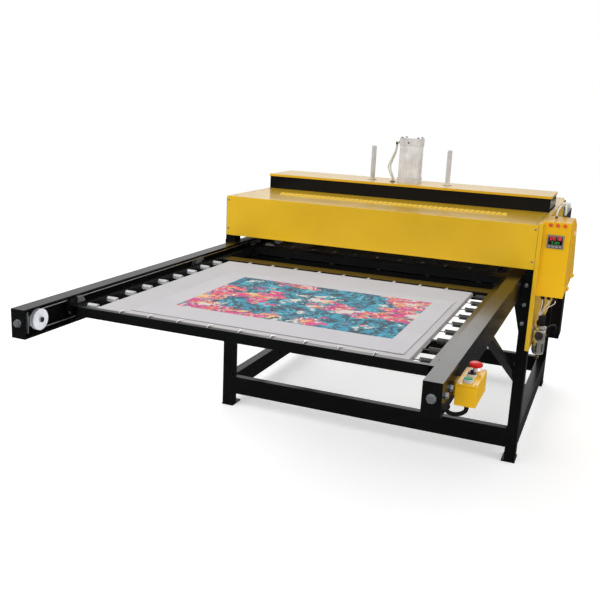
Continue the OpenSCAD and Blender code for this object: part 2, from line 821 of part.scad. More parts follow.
// Right-angle gearbox on the shaft, its motor hanging below, and the plate under the rail
module gearmotor() {
    x0 = -rail_in + 12;
    color("#4c5a63") difference() {
        union() {
            block([x0, x0 + 90], [drive_y - 44, drive_y + 44], [rail_bot, drive_z + 44]);
            block([x0 - 60, x0 + 90], [drive_y - 44, drive_y + 44], [rail_bot - 8, rail_bot]);
            rod_z([x0 + 45, drive_y, rail_bot - 188], 42, 180);
            rod_z([x0 + 45, drive_y, rail_bot - 206], 36, 18);
        }
        rod_x([x0 - 1, drive_y, drive_z], 10 + run_gap, 92);
    }
}

// Endless wire cable round the idler and the drive pulley on each side
module drive_cables() {
    color("#8c8f92") both_x() translate([rail_in + 4.5, 0, drive_z]) {
        for (z = [-cable_path_r, cable_path_r])
            rod_y([0, -drive_y, z], cable_r, 2 * drive_y);
        for (s = [-1, 1]) translate([0, s * drive_y, 0]) rotate([0, 90, 0])
            rotate([0, 0, s < 0 ? 180 : 0]) rotate_extrude(angle = 180)
                translate([cable_path_r, 0]) circle(r = cable_r);
    }
}

// ---- Shuttle ----

module shuttle_side_members() {
    color("#141414") both_x() {
        tube_y([member_x - member_w, member_x], [front_y - outer_edge, outer_edge],
               [table_top - beam_h, table_top], 2.5);
        for (y = wheel_ys)
            rod_x([member_x - 4, y, wheel_z], 6, rail_out - member_x - 3);
    }
}

// A bar at each outer end and a wide beam at each inner end of the two tables
module shuttle_cross_beams() {
    w = member_x - member_w;
    z = [table_top - beam_h, table_top];
    color("#141414") for (c = [[front_y, -1], [0, 1]]) {
        outer = c[0] + c[1] * (outer_edge - outer_bar / 2);
        inner = c[0] - c[1] * (inner_edge - inner_beam / 2);
        tube_x([-w, w], [outer - outer_bar / 2, outer + outer_bar / 2], z, 2.5);
        tube_x([-w, w], [inner - inner_beam / 2, inner + inner_beam / 2], z, 2.5);
    }
}

// Extension springs along both sides of a pad and hook links along its front and rear edges
module springs(cy) {
    pitch_y = 115;
    pitch_x = 114;
    half = (edge_springs - 1) / 2;
    gap = member_x - member_w - pad_w / 2;
    color("#b9bcbf") {
        both_x() for (i = [-half : half])
            translate([pad_w / 2 + 0.5, cy + i * pitch_y, plate_z + 7]) {
                rod_x([0, 0, 0], 1.6, gap - 1);
                rod_x([13, 0, 0], 6.5, gap - 26);
            }
        for (i = [-half : half]) for (s = [-1, 1])
            rod_y([i * pitch_x, cy + s * (pad_l / 2 + 8) - 8, table_top + 2.2], 1.8, 16);
    }
}

module front_springs() springs(front_y);
module rear_springs() springs(0);

module cable_clamps() {
    y0 = front_y - outer_edge;
    z = drive_z + cable_path_r;
    color("#b5b8bb") both_x() difference() {
        block([member_x, rail_in + 12], [y0, y0 + 40], [z - 40, z + 6]);
        rod_y([rail_in + 4.5, y0 - 1, z], cable_r + 0.35, 42);
    }
}

module pad_plate(cy) {
    color("#9da1a5") block([-pad_w / 2, pad_w / 2], [cy - pad_l / 2, cy + pad_l / 2],
        [plate_z, pad_z]);
}

module pad(cy, shade) {
    color(shade) block([-pad_w / 2, pad_w / 2], [cy - pad_l / 2, cy + pad_l / 2],
        [pad_z, table_top]);
}

module front_pad_plate() pad_plate(front_y);
module rear_pad_plate() pad_plate(0);
module front_pad() pad(front_y, "#cfcdd0");
module rear_pad() pad(0, "#3a3c44");

module print_sheet() {
    color("#ecebee") block([-440, 535], [front_y - 465, front_y + 295],
        [table_top, table_top + 0.6]);
}

// Two wheels on one axle line, running on the lower flange of each rail
module wheels(y) {
    x0 = rail_out - rail_t - 28;
    color("#6d7073") both_x() translate([x0, y, wheel_z]) difference() {
        union() {
            rod_x([0, 0, 0], wheel_r, 22);
            rod_x([-2, 0, 0], 14, 26);
        }
        rod_x([-3, 0, 0], 6 + run_gap, 40);
    }
}

module wheels_1() wheels(wheel_ys[0]);
module wheels_2() wheels(wheel_ys[1]);
module wheels_3() wheels(wheel_ys[2]);
module wheels_4() wheels(wheel_ys[3]);

// ---- Platen ----

module heater_plate() {
    color("#8f9194") block([-platen_w / 2, platen_w / 2], [-platen_l / 2, platen_l / 2],
        [platen_z, platen_z + platen_t]);
}

module insulation_board() {
    color("#d8d2c0") block([-platen_w / 2 + 5, platen_w / 2 - 5],
        [-platen_l / 2 + 5, platen_l / 2 - 5],
        [platen_z + platen_t, platen_z + platen_t + board_t]);
}

// Ring of bars on the insulation with a wide centre beam that the rod and posts bolt to
module platen_frame() {
    w = platen_w / 2 - 40;
    l = platen_l / 2 - 40;
    z = [platen_frame_z, platen_frame_z + platen_frame_h];
    color("#2a2c2f") difference() {
        block([-w, w], [-l, l], z);
        for (s = [-1, 1]) {
            block([-w + 50, w - 50], [min(s * 60, s * (l - 50)), max(s * 60, s * (l - 50))],
                  [z[0] - 1, z[1] + 1]);
        }
    }
}

module guide_posts() {
    z0 = platen_frame_z + platen_frame_h;
    color("#d0d3d6") for (x = [-post_x, post_x]) {
        rod_z([x, 0, z0], post_r, post_top - 2 - z0);
        translate([x, 0, post_top - 2]) cylinder(r1 = post_r, r2 = post_r - 2, h = 2);
    }
}

module piston_rod() {
    z0 = platen_frame_z + platen_frame_h;
    z1 = cylinder_top - cap_h - 8;
    color("#d0d3d6") {
        rod_z([0, 0, z0], post_r, z1 - z0);
        rod_z([0, 0, z1 - 25], bore_r - run_gap, 25);
    }
}

uprights();
frame_beams();
rail_left();
rail_right();
rail_supports();
cable_tensioners();
bed_beams();
bed_plate();
crosshead();
top_lid();
front_cover();
rear_cover();
side_panel_left();
side_panel_right();
fasteners();
guide_bushings();
cylinder_barrel();
cylinder_caps();
cylinder_hoses();
cabinet_shell();
cabinet_electrics();
pilot_lamps();
temperature_controller();
button_box();
button_bezels();
conduit();
air_unit();
valve_box();
air_tubes();
gearmotor();
shaft_bearings();
drive_cables();
shuttle_side_members();
shuttle_cross_beams();
front_springs();
rear_springs();
cable_clamps();
front_pad_plate();
front_pad();
print_sheet();
rear_pad_plate();
rear_pad();
wheels_1();
wheels_2();
wheels_3();
wheels_4();
idler_pulleys();
drive_shaft();
heater_plate();
insulation_board();
platen_frame();
guide_posts();
piston_rod();
cabinet_door();
door_lock();
start_button();
selector_knob();
estop_plunger();
estop_head();
regulator_knob();
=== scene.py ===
"""Looks of the heat press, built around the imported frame. Metres, row frame: +Y to the rear, +Z up."""

import json
import math

import bmesh
import bpy
from mathutils import Matrix, Vector, noise


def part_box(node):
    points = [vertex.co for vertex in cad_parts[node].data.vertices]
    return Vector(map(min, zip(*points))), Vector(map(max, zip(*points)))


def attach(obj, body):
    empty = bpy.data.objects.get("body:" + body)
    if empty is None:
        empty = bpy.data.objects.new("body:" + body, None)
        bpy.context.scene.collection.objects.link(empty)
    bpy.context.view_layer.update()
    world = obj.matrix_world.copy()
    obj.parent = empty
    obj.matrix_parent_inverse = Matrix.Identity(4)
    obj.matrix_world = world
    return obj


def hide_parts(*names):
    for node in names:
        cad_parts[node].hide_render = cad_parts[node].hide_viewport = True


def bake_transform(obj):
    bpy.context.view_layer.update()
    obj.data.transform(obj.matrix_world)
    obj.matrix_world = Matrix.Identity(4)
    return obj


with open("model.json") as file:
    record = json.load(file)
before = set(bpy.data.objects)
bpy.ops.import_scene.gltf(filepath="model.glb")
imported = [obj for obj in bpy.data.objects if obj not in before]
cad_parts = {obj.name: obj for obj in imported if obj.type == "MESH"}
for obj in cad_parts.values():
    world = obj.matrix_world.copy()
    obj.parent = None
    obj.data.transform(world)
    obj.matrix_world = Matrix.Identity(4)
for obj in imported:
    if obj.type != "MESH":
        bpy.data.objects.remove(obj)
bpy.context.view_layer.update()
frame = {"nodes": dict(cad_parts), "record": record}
NODES = frame["nodes"]
BODY = {n: b for b, ns in frame["record"]["behaviour"]["bodies"].items() for n in ns}
SCENE = bpy.context.scene
X, Y, Z = Vector((1, 0, 0)), Vector((0, 1, 0)), Vector((0, 0, 1))


# ---- camera
def add_camera():
    yaw, pitch, roll = (math.radians(a) for a in (22.08, 14.1, 2.61))
    look = Vector((-math.sin(yaw) * math.cos(pitch), math.cos(yaw) * math.cos(pitch), -math.sin(pitch)))
    right = Vector((math.cos(yaw), math.sin(yaw), 0))
    up = right.cross(look)
    side = right * math.cos(roll) + up * math.sin(roll)
    top = up * math.cos(roll) - right * math.sin(roll)
    data = bpy.data.cameras.new("camera")
    data.sensor_width = 36
    data.lens = 47.167
    data.clip_end = 100
    cam = bpy.data.objects.new("camera", data)
    SCENE.collection.objects.link(cam)
    turn = Matrix((side, top, -look)).transposed().to_4x4()
    cam.matrix_world = Matrix.Translation((1.09224, -4.18449, 1.60101)) @ turn
    SCENE.camera = cam


add_camera()


# ---- materials
KINDS = {"TexCoord": "ShaderNodeTexCoord", "Math": "ShaderNodeMath", "Mix": "ShaderNodeMix",
         "Noise": "ShaderNodeTexNoise", "Voronoi": "ShaderNodeTexVoronoi", "Wave": "ShaderNodeTexWave",
         "Ramp": "ShaderNodeValToRGB", "Bump": "ShaderNodeBump", "Mapping": "ShaderNodeMapping",
         "Split": "ShaderNodeSeparateXYZ", "VMath": "ShaderNodeVectorMath",
         "LightPath": "ShaderNodeLightPath"}


def feed(tree, socket, value):
    """Links a node's output to a socket, or sets a constant; a colour gets full alpha"""
    if isinstance(value, bpy.types.NodeSocket):
        tree.links.new(value, socket)
    elif isinstance(value, (tuple, list)) and len(socket.default_value) == 4:
        socket.default_value = (*value, 1)
    else:
        socket.default_value = value


def add_node(tree, kind, inputs=(), **props):
    n = tree.nodes.new(KINDS[kind])
    for key, value in props.items():
        setattr(n, key, value)
    for key, value in dict(inputs).items():
        feed(tree, n.inputs[key], value)
    return n


class Shade:
    """A procedural material: a Principled shader and small helpers that add nodes to it."""

    def __init__(self, name, color=(0.5, 0.5, 0.5), rough=0.5, metal=0.0, **sockets):
        self.mat = bpy.data.materials.new(name)
        self.mat.use_nodes = True
        self.tree = self.mat.node_tree
        self.bsdf = next(n for n in self.tree.nodes if n.type == "BSDF_PRINCIPLED")
        self.put("Base Color", color)
        self.put("Roughness", rough)
        self.put("Metallic", metal)
        for key, value in sockets.items():
            self.put(key.replace("_", " "), value)
        self.where = self.node("TexCoord").outputs["Object"]
        self.mat.diffuse_color = (*color, 1)

    def put(self, socket, value):
        feed(self.tree, self.bsdf.inputs[socket], value)

    def node(self, kind, inputs=(), **props):
        return add_node(self.tree, kind, inputs, **props)

    def stretch(self, scale, turn=(0, 0, 0)):
        return self.node("Mapping", {"Vector": self.where, "Scale": scale, "Rotation": turn}).outputs[0]

    def noise(self, scale, detail=3.0, rough=0.55, at=None):
        return self.node("Noise", {"Vector": at or self.where, "Scale": scale, "Detail": detail,
                                   "Roughness": rough}).outputs["Fac"]

    def math(self, op, a, b=0.0):
        return self.node("Math", {0: a, 1: b}, operation=op).outputs[0]

    def ramp(self, value, stops, mode="LINEAR"):
        n = self.node("Ramp", {"Fac": value})
        n.color_ramp.interpolation = mode
        e = n.color_ramp.elements
        while len(e) < len(stops):
            e.new(0.5)
        for slot, (at, c) in zip(e, stops):
            slot.position = at
            slot.color = (*c, 1) if isinstance(c, (tuple, list)) else (c, c, c, 1)
        return n.outputs["Color"]

    def mix(self, share, a, b):
        return self.node("Mix", {0: share, 6: a, 7: b}, data_type="RGBA").outputs[2]

    def blotch(self, scale, detail, low, high, dark, pale):
        """Two colours mixed by noise: all dark below the noise value low, all pale above high"""
        return self.mix(self.ramp(self.noise(scale, detail), [(low, 0.0), (high, 1.0)]), dark, pale)

    def height(self, *layers):
        """layers of (height, strength, distance in metres), stacked into the normal"""
        normal = None
        for h, strength, distance in layers:
            ins = {"Height": h, "Strength": strength, "Distance": distance}
            if normal is not None:
                ins["Normal"] = normal
            normal = self.node("Bump", ins).outputs[0]
        self.put("Normal", normal)
        return self


def tint(c, k):
    return tuple(min(1.0, v * k) for v in c)


def enamel(name, color, rough=0.28, coat=0.6, dust=0.0, ior=1.2):
    """Sprayed enamel: faint clouds and orange peel, and for dust above 0 specks and smears on it"""
    s = Shade(name, color, rough, Coat_Weight=coat, Coat_Roughness=0.07, Coat_IOR=ior, IOR=ior)
    base = s.blotch(3.1, 4, 0.3, 0.7, tint(color, 0.94), tint(color, 1.05))
    if dust:
        specks = s.ramp(s.noise(210, 2), [(0.66, 0.0), (0.74, 1.0)])
        smears = s.ramp(s.noise(6, 5, at=s.stretch((1, 0.3, 1))), [(0.45, 0.0), (0.8, 1.0)])
        base = s.mix(s.math("MULTIPLY", specks, dust), base, (0.25, 0.25, 0.24))
        base = s.mix(s.math("MULTIPLY", smears, dust * 0.25), base, (0.12, 0.12, 0.115))
    s.put("Base Color", base)
    s.put("Roughness", s.ramp(s.noise(6, 3), [(0.3, rough * 0.95), (0.75, rough * 1.12)]))
    return s.height((s.noise(900, 2), 0.05, 0.0001))


def metal(name, color, rough=0.3, grain=(1, 1, 1), lines=0.15, metallic=1.0):
    """Worked metal: grain stretches its tool marks and lines is how deep they look"""
    s = Shade(name, color, rough, metallic)
    streak = s.noise(260, 4, at=s.stretch(grain))
    s.put("Base Color", s.blotch(18, 4, 0.35, 0.7, tint(color, 0.82), tint(color, 1.08)))
    s.put("Roughness", s.ramp(streak, [(0.25, rough * 0.7), (0.8, rough * 1.4)]))
    return s.height((streak, lines, 0.0004))


def plastic(name, color, rough=0.4, grain=1.0, **sockets):
    """Moulded plastic; grain scales its fine pitting"""
    s = Shade(name, color, rough, **sockets)
    s.put("Base Color", s.blotch(30, 3, 0.3, 0.7, tint(color, 0.88), tint(color, 1.1)))
    s.put("Roughness", s.ramp(s.noise(60, 3), [(0.3, rough * 0.8), (0.7, rough * 1.25)]))
    return s.height((s.noise(1600, 2), 0.18 * grain, 0.0003))


def felt(name, color):
    """Pressed felt: short crossed fibres, faint mottling and pressed-in hollows."""
    s = Shade(name, color, 0.92, Sheen_Weight=0.25, Sheen_Roughness=0.5)
    fibre_a = s.noise(900, 3, 0.7, at=s.stretch((1, 0.18, 1), (0, 0, 0.6)))
    fibre_b = s.noise(900, 3, 0.7, at=s.stretch((0.18, 1, 1), (0, 0, 0.3)))
    fibres = s.math("MAXIMUM", fibre_a, fibre_b)
    mottle = s.noise(5, 5, 0.6)
    base = s.mix(s.ramp(mottle, [(0.3, 0.0), (0.72, 1.0)]), tint(color, 0.93), tint(color, 1.04))
    base = s.mix(s.ramp(fibres, [(0.45, 0.0), (0.75, 0.35)]), base, tint(color, 0.72))
    s.put("Base Color", base)
    return s.height((mottle, 0.25, 0.004), (fibres, 0.35, 0.0008))


def silicone(name, color):
    """Silicone sponge: patchy sheen and fine pores"""
    s = Shade(name, color, 0.42, Coat_Weight=0.15, Coat_Roughness=0.3)
    s.put("Base Color", s.blotch(4, 5, 0.3, 0.7, tint(color, 0.8), tint(color, 1.25)))
    s.put("Roughness", s.ramp(s.noise(24, 4), [(0.3, 0.32), (0.7, 0.55)]))
    return s.height((s.noise(5, 3), 0.2, 0.003), (s.noise(700, 2), 0.15, 0.0004))


def weave_height(s):
    """Crossed threads of a plain weave"""
    threads_per_metre = 1100
    ins = {"Vector": s.where, "Scale": threads_per_metre / 6.283, "Distortion": 0.6, "Detail": 1.0}
    warp, weft = (s.node("Wave", ins, wave_type="BANDS", bands_direction=way).outputs["Fac"] for way in "XY")
    return s.math("MULTIPLY", warp, weft)


def printed_cloth(name, low, high):
    """White cloth with a generic abstract print: blossoms of many colours over brushed blue-green."""
    s = Shade(name, (0.66, 0.65, 0.68), 0.85, Sheen_Weight=0.15, Sheen_Roughness=0.5)
    flow = s.node("Noise", {"Vector": s.where, "Scale": 9.0, "Detail": 4.0})
    drift = s.node("VMath", {0: flow.outputs["Color"], 1: (0.5, 0.5, 0.5)}, operation="SUBTRACT").outputs[0]
    drift = s.node("VMath", {0: drift, "Scale": 0.16}, operation="SCALE").outputs[0]
    at = s.node("VMath", {0: s.where, 1: drift}, operation="ADD").outputs[0]
    wash = s.noise(16, 5, 0.65, at)
    ground = s.ramp(wash, [(0.3, (0.002, 0.03, 0.06)), (0.4, (0.004, 0.1, 0.17)),
                           (0.48, (0.006, 0.26, 0.4)), (0.56, (0.01, 0.36, 0.5)),
                           (0.64, (0.1, 0.52, 0.62)), (0.74, (0.45, 0.72, 0.76))])
    brush = s.node("Mapping", {"Vector": at, "Scale": (1, 0.25, 1), "Rotation": (0, 0, 0.8)}).outputs[0]
    strokes = s.ramp(s.noise(48, 3, 0.6, brush), [(0.51, 0.0), (0.53, 1.0)])
    ground = s.mix(s.math("MULTIPLY", strokes, 0.85), ground, (0.002, 0.012, 0.028))
    cells = s.node("Voronoi", {"Vector": at, "Scale": 95.0, "Randomness": 1.0})
    hue = s.node("Split", {0: cells.outputs["Color"]}).outputs[0]
    petals = s.ramp(hue, [(0.0, (0.52, 0.01, 0.16)), (0.16, (0.72, 0.02, 0.24)), (0.28, (0.66, 0.16, 0.36)),
                          (0.38, (0.75, 0.1, 0.02)), (0.48, (0.78, 0.34, 0.07)), (0.58, (0.8, 0.66, 0.34)),
                          (0.68, (0.78, 0.77, 0.72)), (0.8, (0.12, 0.02, 0.14)), (0.9, (0.02, 0.3, 0.38))],
                    "CONSTANT")
    big = s.ramp(s.noise(15, 4, 0.6, at), [(0.38, (0.42, 0.005, 0.16)), (0.5, (0.74, 0.012, 0.24)),
                                          (0.57, (0.78, 0.12, 0.05)), (0.66, (0.8, 0.58, 0.26))])
    petals = s.mix(s.ramp(s.noise(30, 3, 0.6, at), [(0.48, 0.0), (0.51, 1.0)]), petals, big)
    patches = s.noise(5.0, 5, 0.66, s.stretch((1, 1.5, 1), (0, 0, -0.5)))
    where = s.ramp(patches, [(0.525, 0.0), (0.535, 1.0)])
    art = s.mix(where, ground, petals)
    pale = s.ramp(s.noise(11, 5, 0.66, s.stretch((1, 1.2, 1), (0, 0, 1.1))), [(0.6, 0.0), (0.61, 1.0)])
    art = s.mix(s.math("MULTIPLY", pale, 0.9), art, (0.72, 0.72, 0.64))
    axes = s.node("Split", {0: s.where})
    inside = 1.0
    for axis in (0, 1):
        for sign, edge in ((1, low[axis]), (-1, high[axis])):
            gap = s.math("MULTIPLY", s.math("SUBTRACT", axes.outputs[axis], edge), sign)
            step = s.math("GREATER_THAN", gap, 0.0)
            inside = step if inside == 1.0 else s.math("MULTIPLY", inside, step)
    cloth = s.blotch(6, 4, 0.3, 0.7, (0.575, 0.56, 0.58), (0.615, 0.6, 0.62))
    s.put("Base Color", s.mix(inside, cloth, art))
    return s.height((weave_height(s), 0.25, 0.0004))


BLACK = enamel("black_enamel", (0.0045, 0.0047, 0.005), 0.22, 0.0, dust=0.05, ior=1.25)
YELLOW = enamel("yellow_enamel", (0.77, 0.465, 0.018), 0.22, 0.4, ior=1.3)
WARM_YELLOW = enamel("warm_yellow_enamel", (0.84, 0.47, 0.01), 0.26, 0.3)
# Lighter copy of the cover yellow for the louvre hoods: painted highlight where they catch the light
YELLOW_PAINTED_HIGHLIGHT = enamel("yellow_enamel_painted_highlight", (1.0, 0.68, 0.09), 0.45, 0.0)
ZINC = metal("zinc_plate", (0.4, 0.41, 0.42), 0.27, lines=0.05, metallic=0.75)
STEEL = metal("machined_steel", (0.42, 0.43, 0.45), 0.34, (1, 0.05, 1), 0.12)
DARK_STEEL = metal("blackened_steel", (0.05, 0.052, 0.058), 0.38, lines=0.1, metallic=0.6)
SPRING = metal("bright_spring_wire", (0.84, 0.85, 0.86), 0.18, lines=0.02, metallic=0.55)
CHROME = metal("hard_chrome", (0.84, 0.86, 0.92), 0.09, lines=0.02, metallic=0.35)
ALU = metal("anodised_aluminium", (0.86, 0.88, 0.95), 0.26, (1, 1, 0.03), 0.01, metallic=0.12)
CAST_ALU = metal("cast_aluminium", (0.78, 0.79, 0.83), 0.42, lines=0.2, metallic=0.3)
HOT_ALU = metal("heated_aluminium", (0.45, 0.45, 0.47), 0.45, (0.05, 1, 1), 0.2)
BRONZE = metal("bronze", (0.62, 0.44, 0.2), 0.28)
BRASS = metal("brass", (0.72, 0.5, 0.18), 0.25)
# Darker copy of the bright spring wire above: the pair are lit and shaded copies of one wire, and this one
# paints shade on the right-hand springs
SPRING_PAINTED_SHADE = metal("spring_wire_painted_shade", (0.11, 0.11, 0.1), 0.3, lines=0.02, metallic=0.6)
BOWL_STEEL = metal("bowl_guard_steel", (0.66, 0.65, 0.6), 0.18, lines=0.05, metallic=0.75)
BOARD = felt("pressed_board", (0.62, 0.57, 0.45))
FELT = felt("pale_felt", (0.58, 0.56, 0.575))
# Darker copy of the pale felt for the pad's rim: painted shade on its edge
FELT_RIM_PAINTED_SHADE = felt("felt_rim_painted_shade", (0.38, 0.355, 0.34))
PAD_DARK = silicone("dark_silicone", (0.052, 0.054, 0.068))
BLACK_PLASTIC = plastic("black_plastic", (0.01, 0.01, 0.011), 0.38, IOR=1.3)
GREY_PLASTIC = plastic("grey_plastic", (0.24, 0.23, 0.2), 0.45)
DARK_PLASTIC = plastic("dark_plastic", (0.03, 0.03, 0.034), 0.5)
KEY_PLASTIC = plastic("key_plastic", (0.34, 0.28, 0.27), 0.45)
RED_PLASTIC = plastic("red_plastic", (0.62, 0.01, 0.012), 0.3, 0.4, IOR=1.3)
LAMP_RED = plastic("lamp_red", (0.75, 0.06, 0.012), 0.25, 0.3, Coat_Weight=0.3)
GREEN_PLASTIC = plastic("green_plastic", (0.008, 0.25, 0.11), 0.35, 0.4, IOR=1.2)
WHITE_PLASTIC = plastic("white_plastic", (0.7, 0.7, 0.68), 0.4)
NYLON = plastic("grey_nylon", (0.2, 0.2, 0.21), 0.5)
RUBBER_HOSE = plastic("black_hose", (0.009, 0.009, 0.01), 0.45, IOR=1.25)
CLEAR_HOSE = plastic("clear_hose", (0.72, 0.73, 0.66), 0.28, 0.3, Transmission_Weight=0.15)
CLEAR_BOWL = plastic("clear_bowl", (0.82, 0.84, 0.84), 0.12, 0.2, Transmission_Weight=0.75, IOR=1.45)
MOTOR_PAINT = enamel("machine_grey_enamel", (0.045, 0.065, 0.085), 0.35, 0.3)
WINDOW = plastic("display_window", (0.012, 0.006, 0.007), 0.15, 0.2, Coat_Weight=0.6)
LIT_RED = plastic("lit_red", (0.85, 0.02, 0.03), 0.4, Emission_Color=(1.0, 0.01, 0.03),
                  Emission_Strength=0.7)
LIT_GREEN = plastic("lit_green", (0.03, 0.55, 0.08), 0.4, Emission_Color=(0.05, 0.7, 0.12),
                    Emission_Strength=0.15)
WIRE = metal("wire_cable", (0.5, 0.51, 0.53), 0.35)


# ---- geometry helpers
BOX_FACES = [(0, 1, 2, 3), (4, 5, 6, 7), (0, 1, 5, 4), (1, 2, 6, 5), (2, 3, 7, 6), (3, 0, 4, 7)]


class Build:
    """Collects closed shapes into one piece, each with its own material."""

    def __init__(self):
        self.verts, self.faces, self.marks, self.mats = [], [], [], []
        self.mat = 0

    def use(self, shade):
        if shade.mat not in self.mats:
            self.mats.append(shade.mat)
        self.mat = self.mats.index(shade.mat)
        return self

    def add(self, verts, faces, place=None):
        base = len(self.verts)
        self.verts += [tuple(place @ Vector(v)) if place else tuple(v) for v in verts]
        self.faces += [tuple(i + base for i in f) for f in faces]
        self.marks += [self.mat] * len(faces)
        return self

    def box(self, lo, hi, r=0.0, segments=2):
        """A box with its edges rounded to r"""
        bm = bmesh.new()
        bmesh.ops.create_cube(bm, size=1)
        lo, hi = Vector(lo), Vector(hi)
        for v in bm.verts:
            v.co = Vector(lo[i] + (hi[i] - lo[i]) * (v.co[i] + 0.5) for i in range(3))
        if r:
            bmesh.ops.bevel(bm, geom=bm.edges[:], offset=r, segments=segments, profile=0.5, affect="EDGES")
        bm.verts.index_update()
        self.add([v.co for v in bm.verts], [[v.index for v in f.verts] for f in bm.faces])
        bm.free()
        return self

    def lathe(self, profile, origin=(0, 0, 0), axis=Z, sides=32, ribs=0, rib=0.0, twist=0.0):
        """Turned shape; profile is (radius, height) in mm from bottom to top and closes on the axis"""
        turn = Z.rotation_difference(Vector(axis)).to_matrix().to_4x4()
        place = Matrix.Translation(origin) @ turn @ Matrix.Scale(0.001, 4)
        pts = list(profile)
        if pts[0][0] > 0:
            pts.insert(0, (0, pts[0][1]))
        if pts[-1][0] > 0:
            pts.append((0, pts[-1][1]))
        verts, rings = [], []
        for r, h in pts:
            if r == 0:
                rings.append([len(verts)])
                verts.append((0, 0, h))
                continue
            rings.append(list(range(len(verts), len(verts) + sides)))
            for k in range(sides):
                a = 2 * math.pi * k / sides + twist
                q = r - (rib if ribs and k % (sides // ribs) == 0 else 0)
                verts.append((q * math.cos(a), q * math.sin(a), h))
        faces = []
        for a, b in zip(rings, rings[1:]):
            for k in range(sides):
                j = (k + 1) % sides
                if len(a) == 1 and len(b) == 1:
                    continue
                if len(a) == 1:
                    faces.append((a[0], b[j], b[k]))
                elif len(b) == 1:
                    faces.append((a[k], a[j], b[0]))
                else:
                    faces.append((a[k], a[j], b[j], b[k]))
        return self.add(verts, faces, place)

    def sweep(self, points, r, sides=10, wave=None, closed=False):
        """A tube along points; wave(i) scales the radius of ring i"""
        pts = [Vector(p) for p in points]
        n = len(pts)
        tangents = []
        for i in range(n):
            a = pts[(i - 1) % n] if closed or i else pts[0]
            b = pts[(i + 1) % n] if closed or i < n - 1 else pts[-1]
            tangents.append((b - a).normalized())
        normal = tangents[0].orthogonal().normalized()
        verts = []
        for i, (p, t) in enumerate(zip(pts, tangents)):
            normal = (normal - t * normal.dot(t)).normalized()
            side = t.cross(normal)
            q = r * (wave(i) if wave else 1)
            for k in range(sides):
                a = 2 * math.pi * k / sides
                verts.append(p + (normal * math.cos(a) + side * math.sin(a)) * q)
        faces = []
        for i in range(n if closed else n - 1):
            a, b = i * sides, (i + 1) % n * sides
            faces += [(a + k, a + (k + 1) % sides, b + (k + 1) % sides, b + k) for k in range(sides)]
        if not closed:
            faces += [tuple(range(sides))[::-1], tuple((n - 1) * sides + k for k in range(sides))]
        return self.add(verts, faces)

    def piece(self, name, node, adds=False, rides=True, smooth=38, bevel=0.0):
        mesh = bpy.data.meshes.new(name)
        mesh.from_pydata(self.verts, [], self.faces)
        mesh.polygons.foreach_set("material_index", self.marks)
        for m in self.mats:
            mesh.materials.append(m)
        bm = bmesh.new()
        bm.from_mesh(mesh)
        bmesh.ops.recalc_face_normals(bm, faces=bm.faces[:])
        bm.to_mesh(mesh)
        bm.free()
        return finish_piece(mesh, name, node, adds, rides, smooth, bevel)


def finish_piece(mesh, name, node, adds=False, rides=True, smooth=38, bevel=0.0):
    """The object that stands for a CAD node, or that only adds to it"""
    mesh.polygons.foreach_set("use_smooth", [True] * len(mesh.polygons))
    mesh.set_sharp_from_angle(angle=math.radians(smooth))
    ob = bpy.data.objects.new(name, mesh)
    SCENE.collection.objects.link(ob)
    if bevel:
        mod = ob.modifiers.new("edges", "BEVEL")
        mod.width = bevel
        mod.segments = 2
        mod.limit_method = "ANGLE"
        mod.angle_limit = math.radians(35)
        mod.harden_normals = True
    if rides:
        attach(ob, BODY[node])
    if not adds:
        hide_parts(node)
    return ob


def eased(node, shade, bevel):
    """The node's own shape with its edges eased, as folded, rolled or moulded parts have them."""
    bm = bmesh.new()
    bm.from_mesh(NODES[node].data)
    bmesh.ops.remove_doubles(bm, verts=bm.verts[:], dist=2e-6)
    bmesh.ops.dissolve_limit(bm, angle_limit=math.radians(0.5), verts=bm.verts[:], edges=bm.edges[:],
                             delimit={"NORMAL"})
    mesh = bpy.data.meshes.new(node + "_eased")
    bm.to_mesh(mesh)
    bm.free()
    if "custom_normal" in mesh.attributes:
        mesh.attributes.remove(mesh.attributes["custom_normal"])
    mesh.materials.clear()
    mesh.materials.append(shade.mat)
    mesh.polygons.foreach_set("material_index", [0] * len(mesh.polygons))
    finish_piece(mesh, node + "_eased", node, smooth=35, bevel=bevel)


def paint(node, shade):
    """A material on a CAD node that stays as it is."""
    ob = NODES[node]
    ob.data.materials.clear()
    ob.data.materials.append(shade.mat)


def corners(node):
    return [Vector(c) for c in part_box(node)]


def islands(node):
    """(low, high) corners of each separate solid of a node."""
    bm = bmesh.new()
    bm.from_mesh(NODES[node].data)
    bmesh.ops.remove_doubles(bm, verts=bm.verts[:], dist=2e-6)
    seen, boxes = set(), []
    for v in bm.verts:
        if v in seen:
            continue
        stack, group = [v], []
        seen.add(v)
        while stack:
            a = stack.pop()
            group.append(a.co)
            for e in a.link_edges:
                b = e.other_vert(a)
                if b not in seen:
                    seen.add(b)
                    stack.append(b)
        boxes.append((Vector(min(c[i] for c in group) for i in range(3)),
                      Vector(max(c[i] for c in group) for i in range(3))))
    bm.free()
    return boxes


def curve(points, steps=8):
    """Catmull-Rom curve through points"""
    pts = [Vector(p) for p in points]
    out = []
    for i in range(len(pts) - 1):
        a, b, c, d = pts[max(i - 1, 0)], pts[i], pts[i + 1], pts[min(i + 2, len(pts) - 1)]
        for k in range(steps):
            t = k / steps
            out.append(0.5 * (2 * b + (c - a) * t + (2 * a - 5 * b + 4 * c - d) * t * t
                              + (3 * b - a - 3 * c + d) * t ** 3))
    return out + [pts[-1]]


def resample(points, gap):
    """Points at an even distance along a line"""
    out, left = [points[0].copy()], gap
    for a, b in zip(points, points[1:]):
        length = (b - a).length
        while length >= left:
            a = a + (b - a) * (left / length)
            out.append(a.copy())
            length, left = (b - a).length, gap
        left -= length
    return out


def bands(rings, m):
    """Faces between rings of m points each, which follow one another"""
    return [(r * m + k, r * m + (k + 1) % m, (r + 1) * m + (k + 1) % m, (r + 1) * m + k)
            for r in range(rings - 1) for k in range(m)]


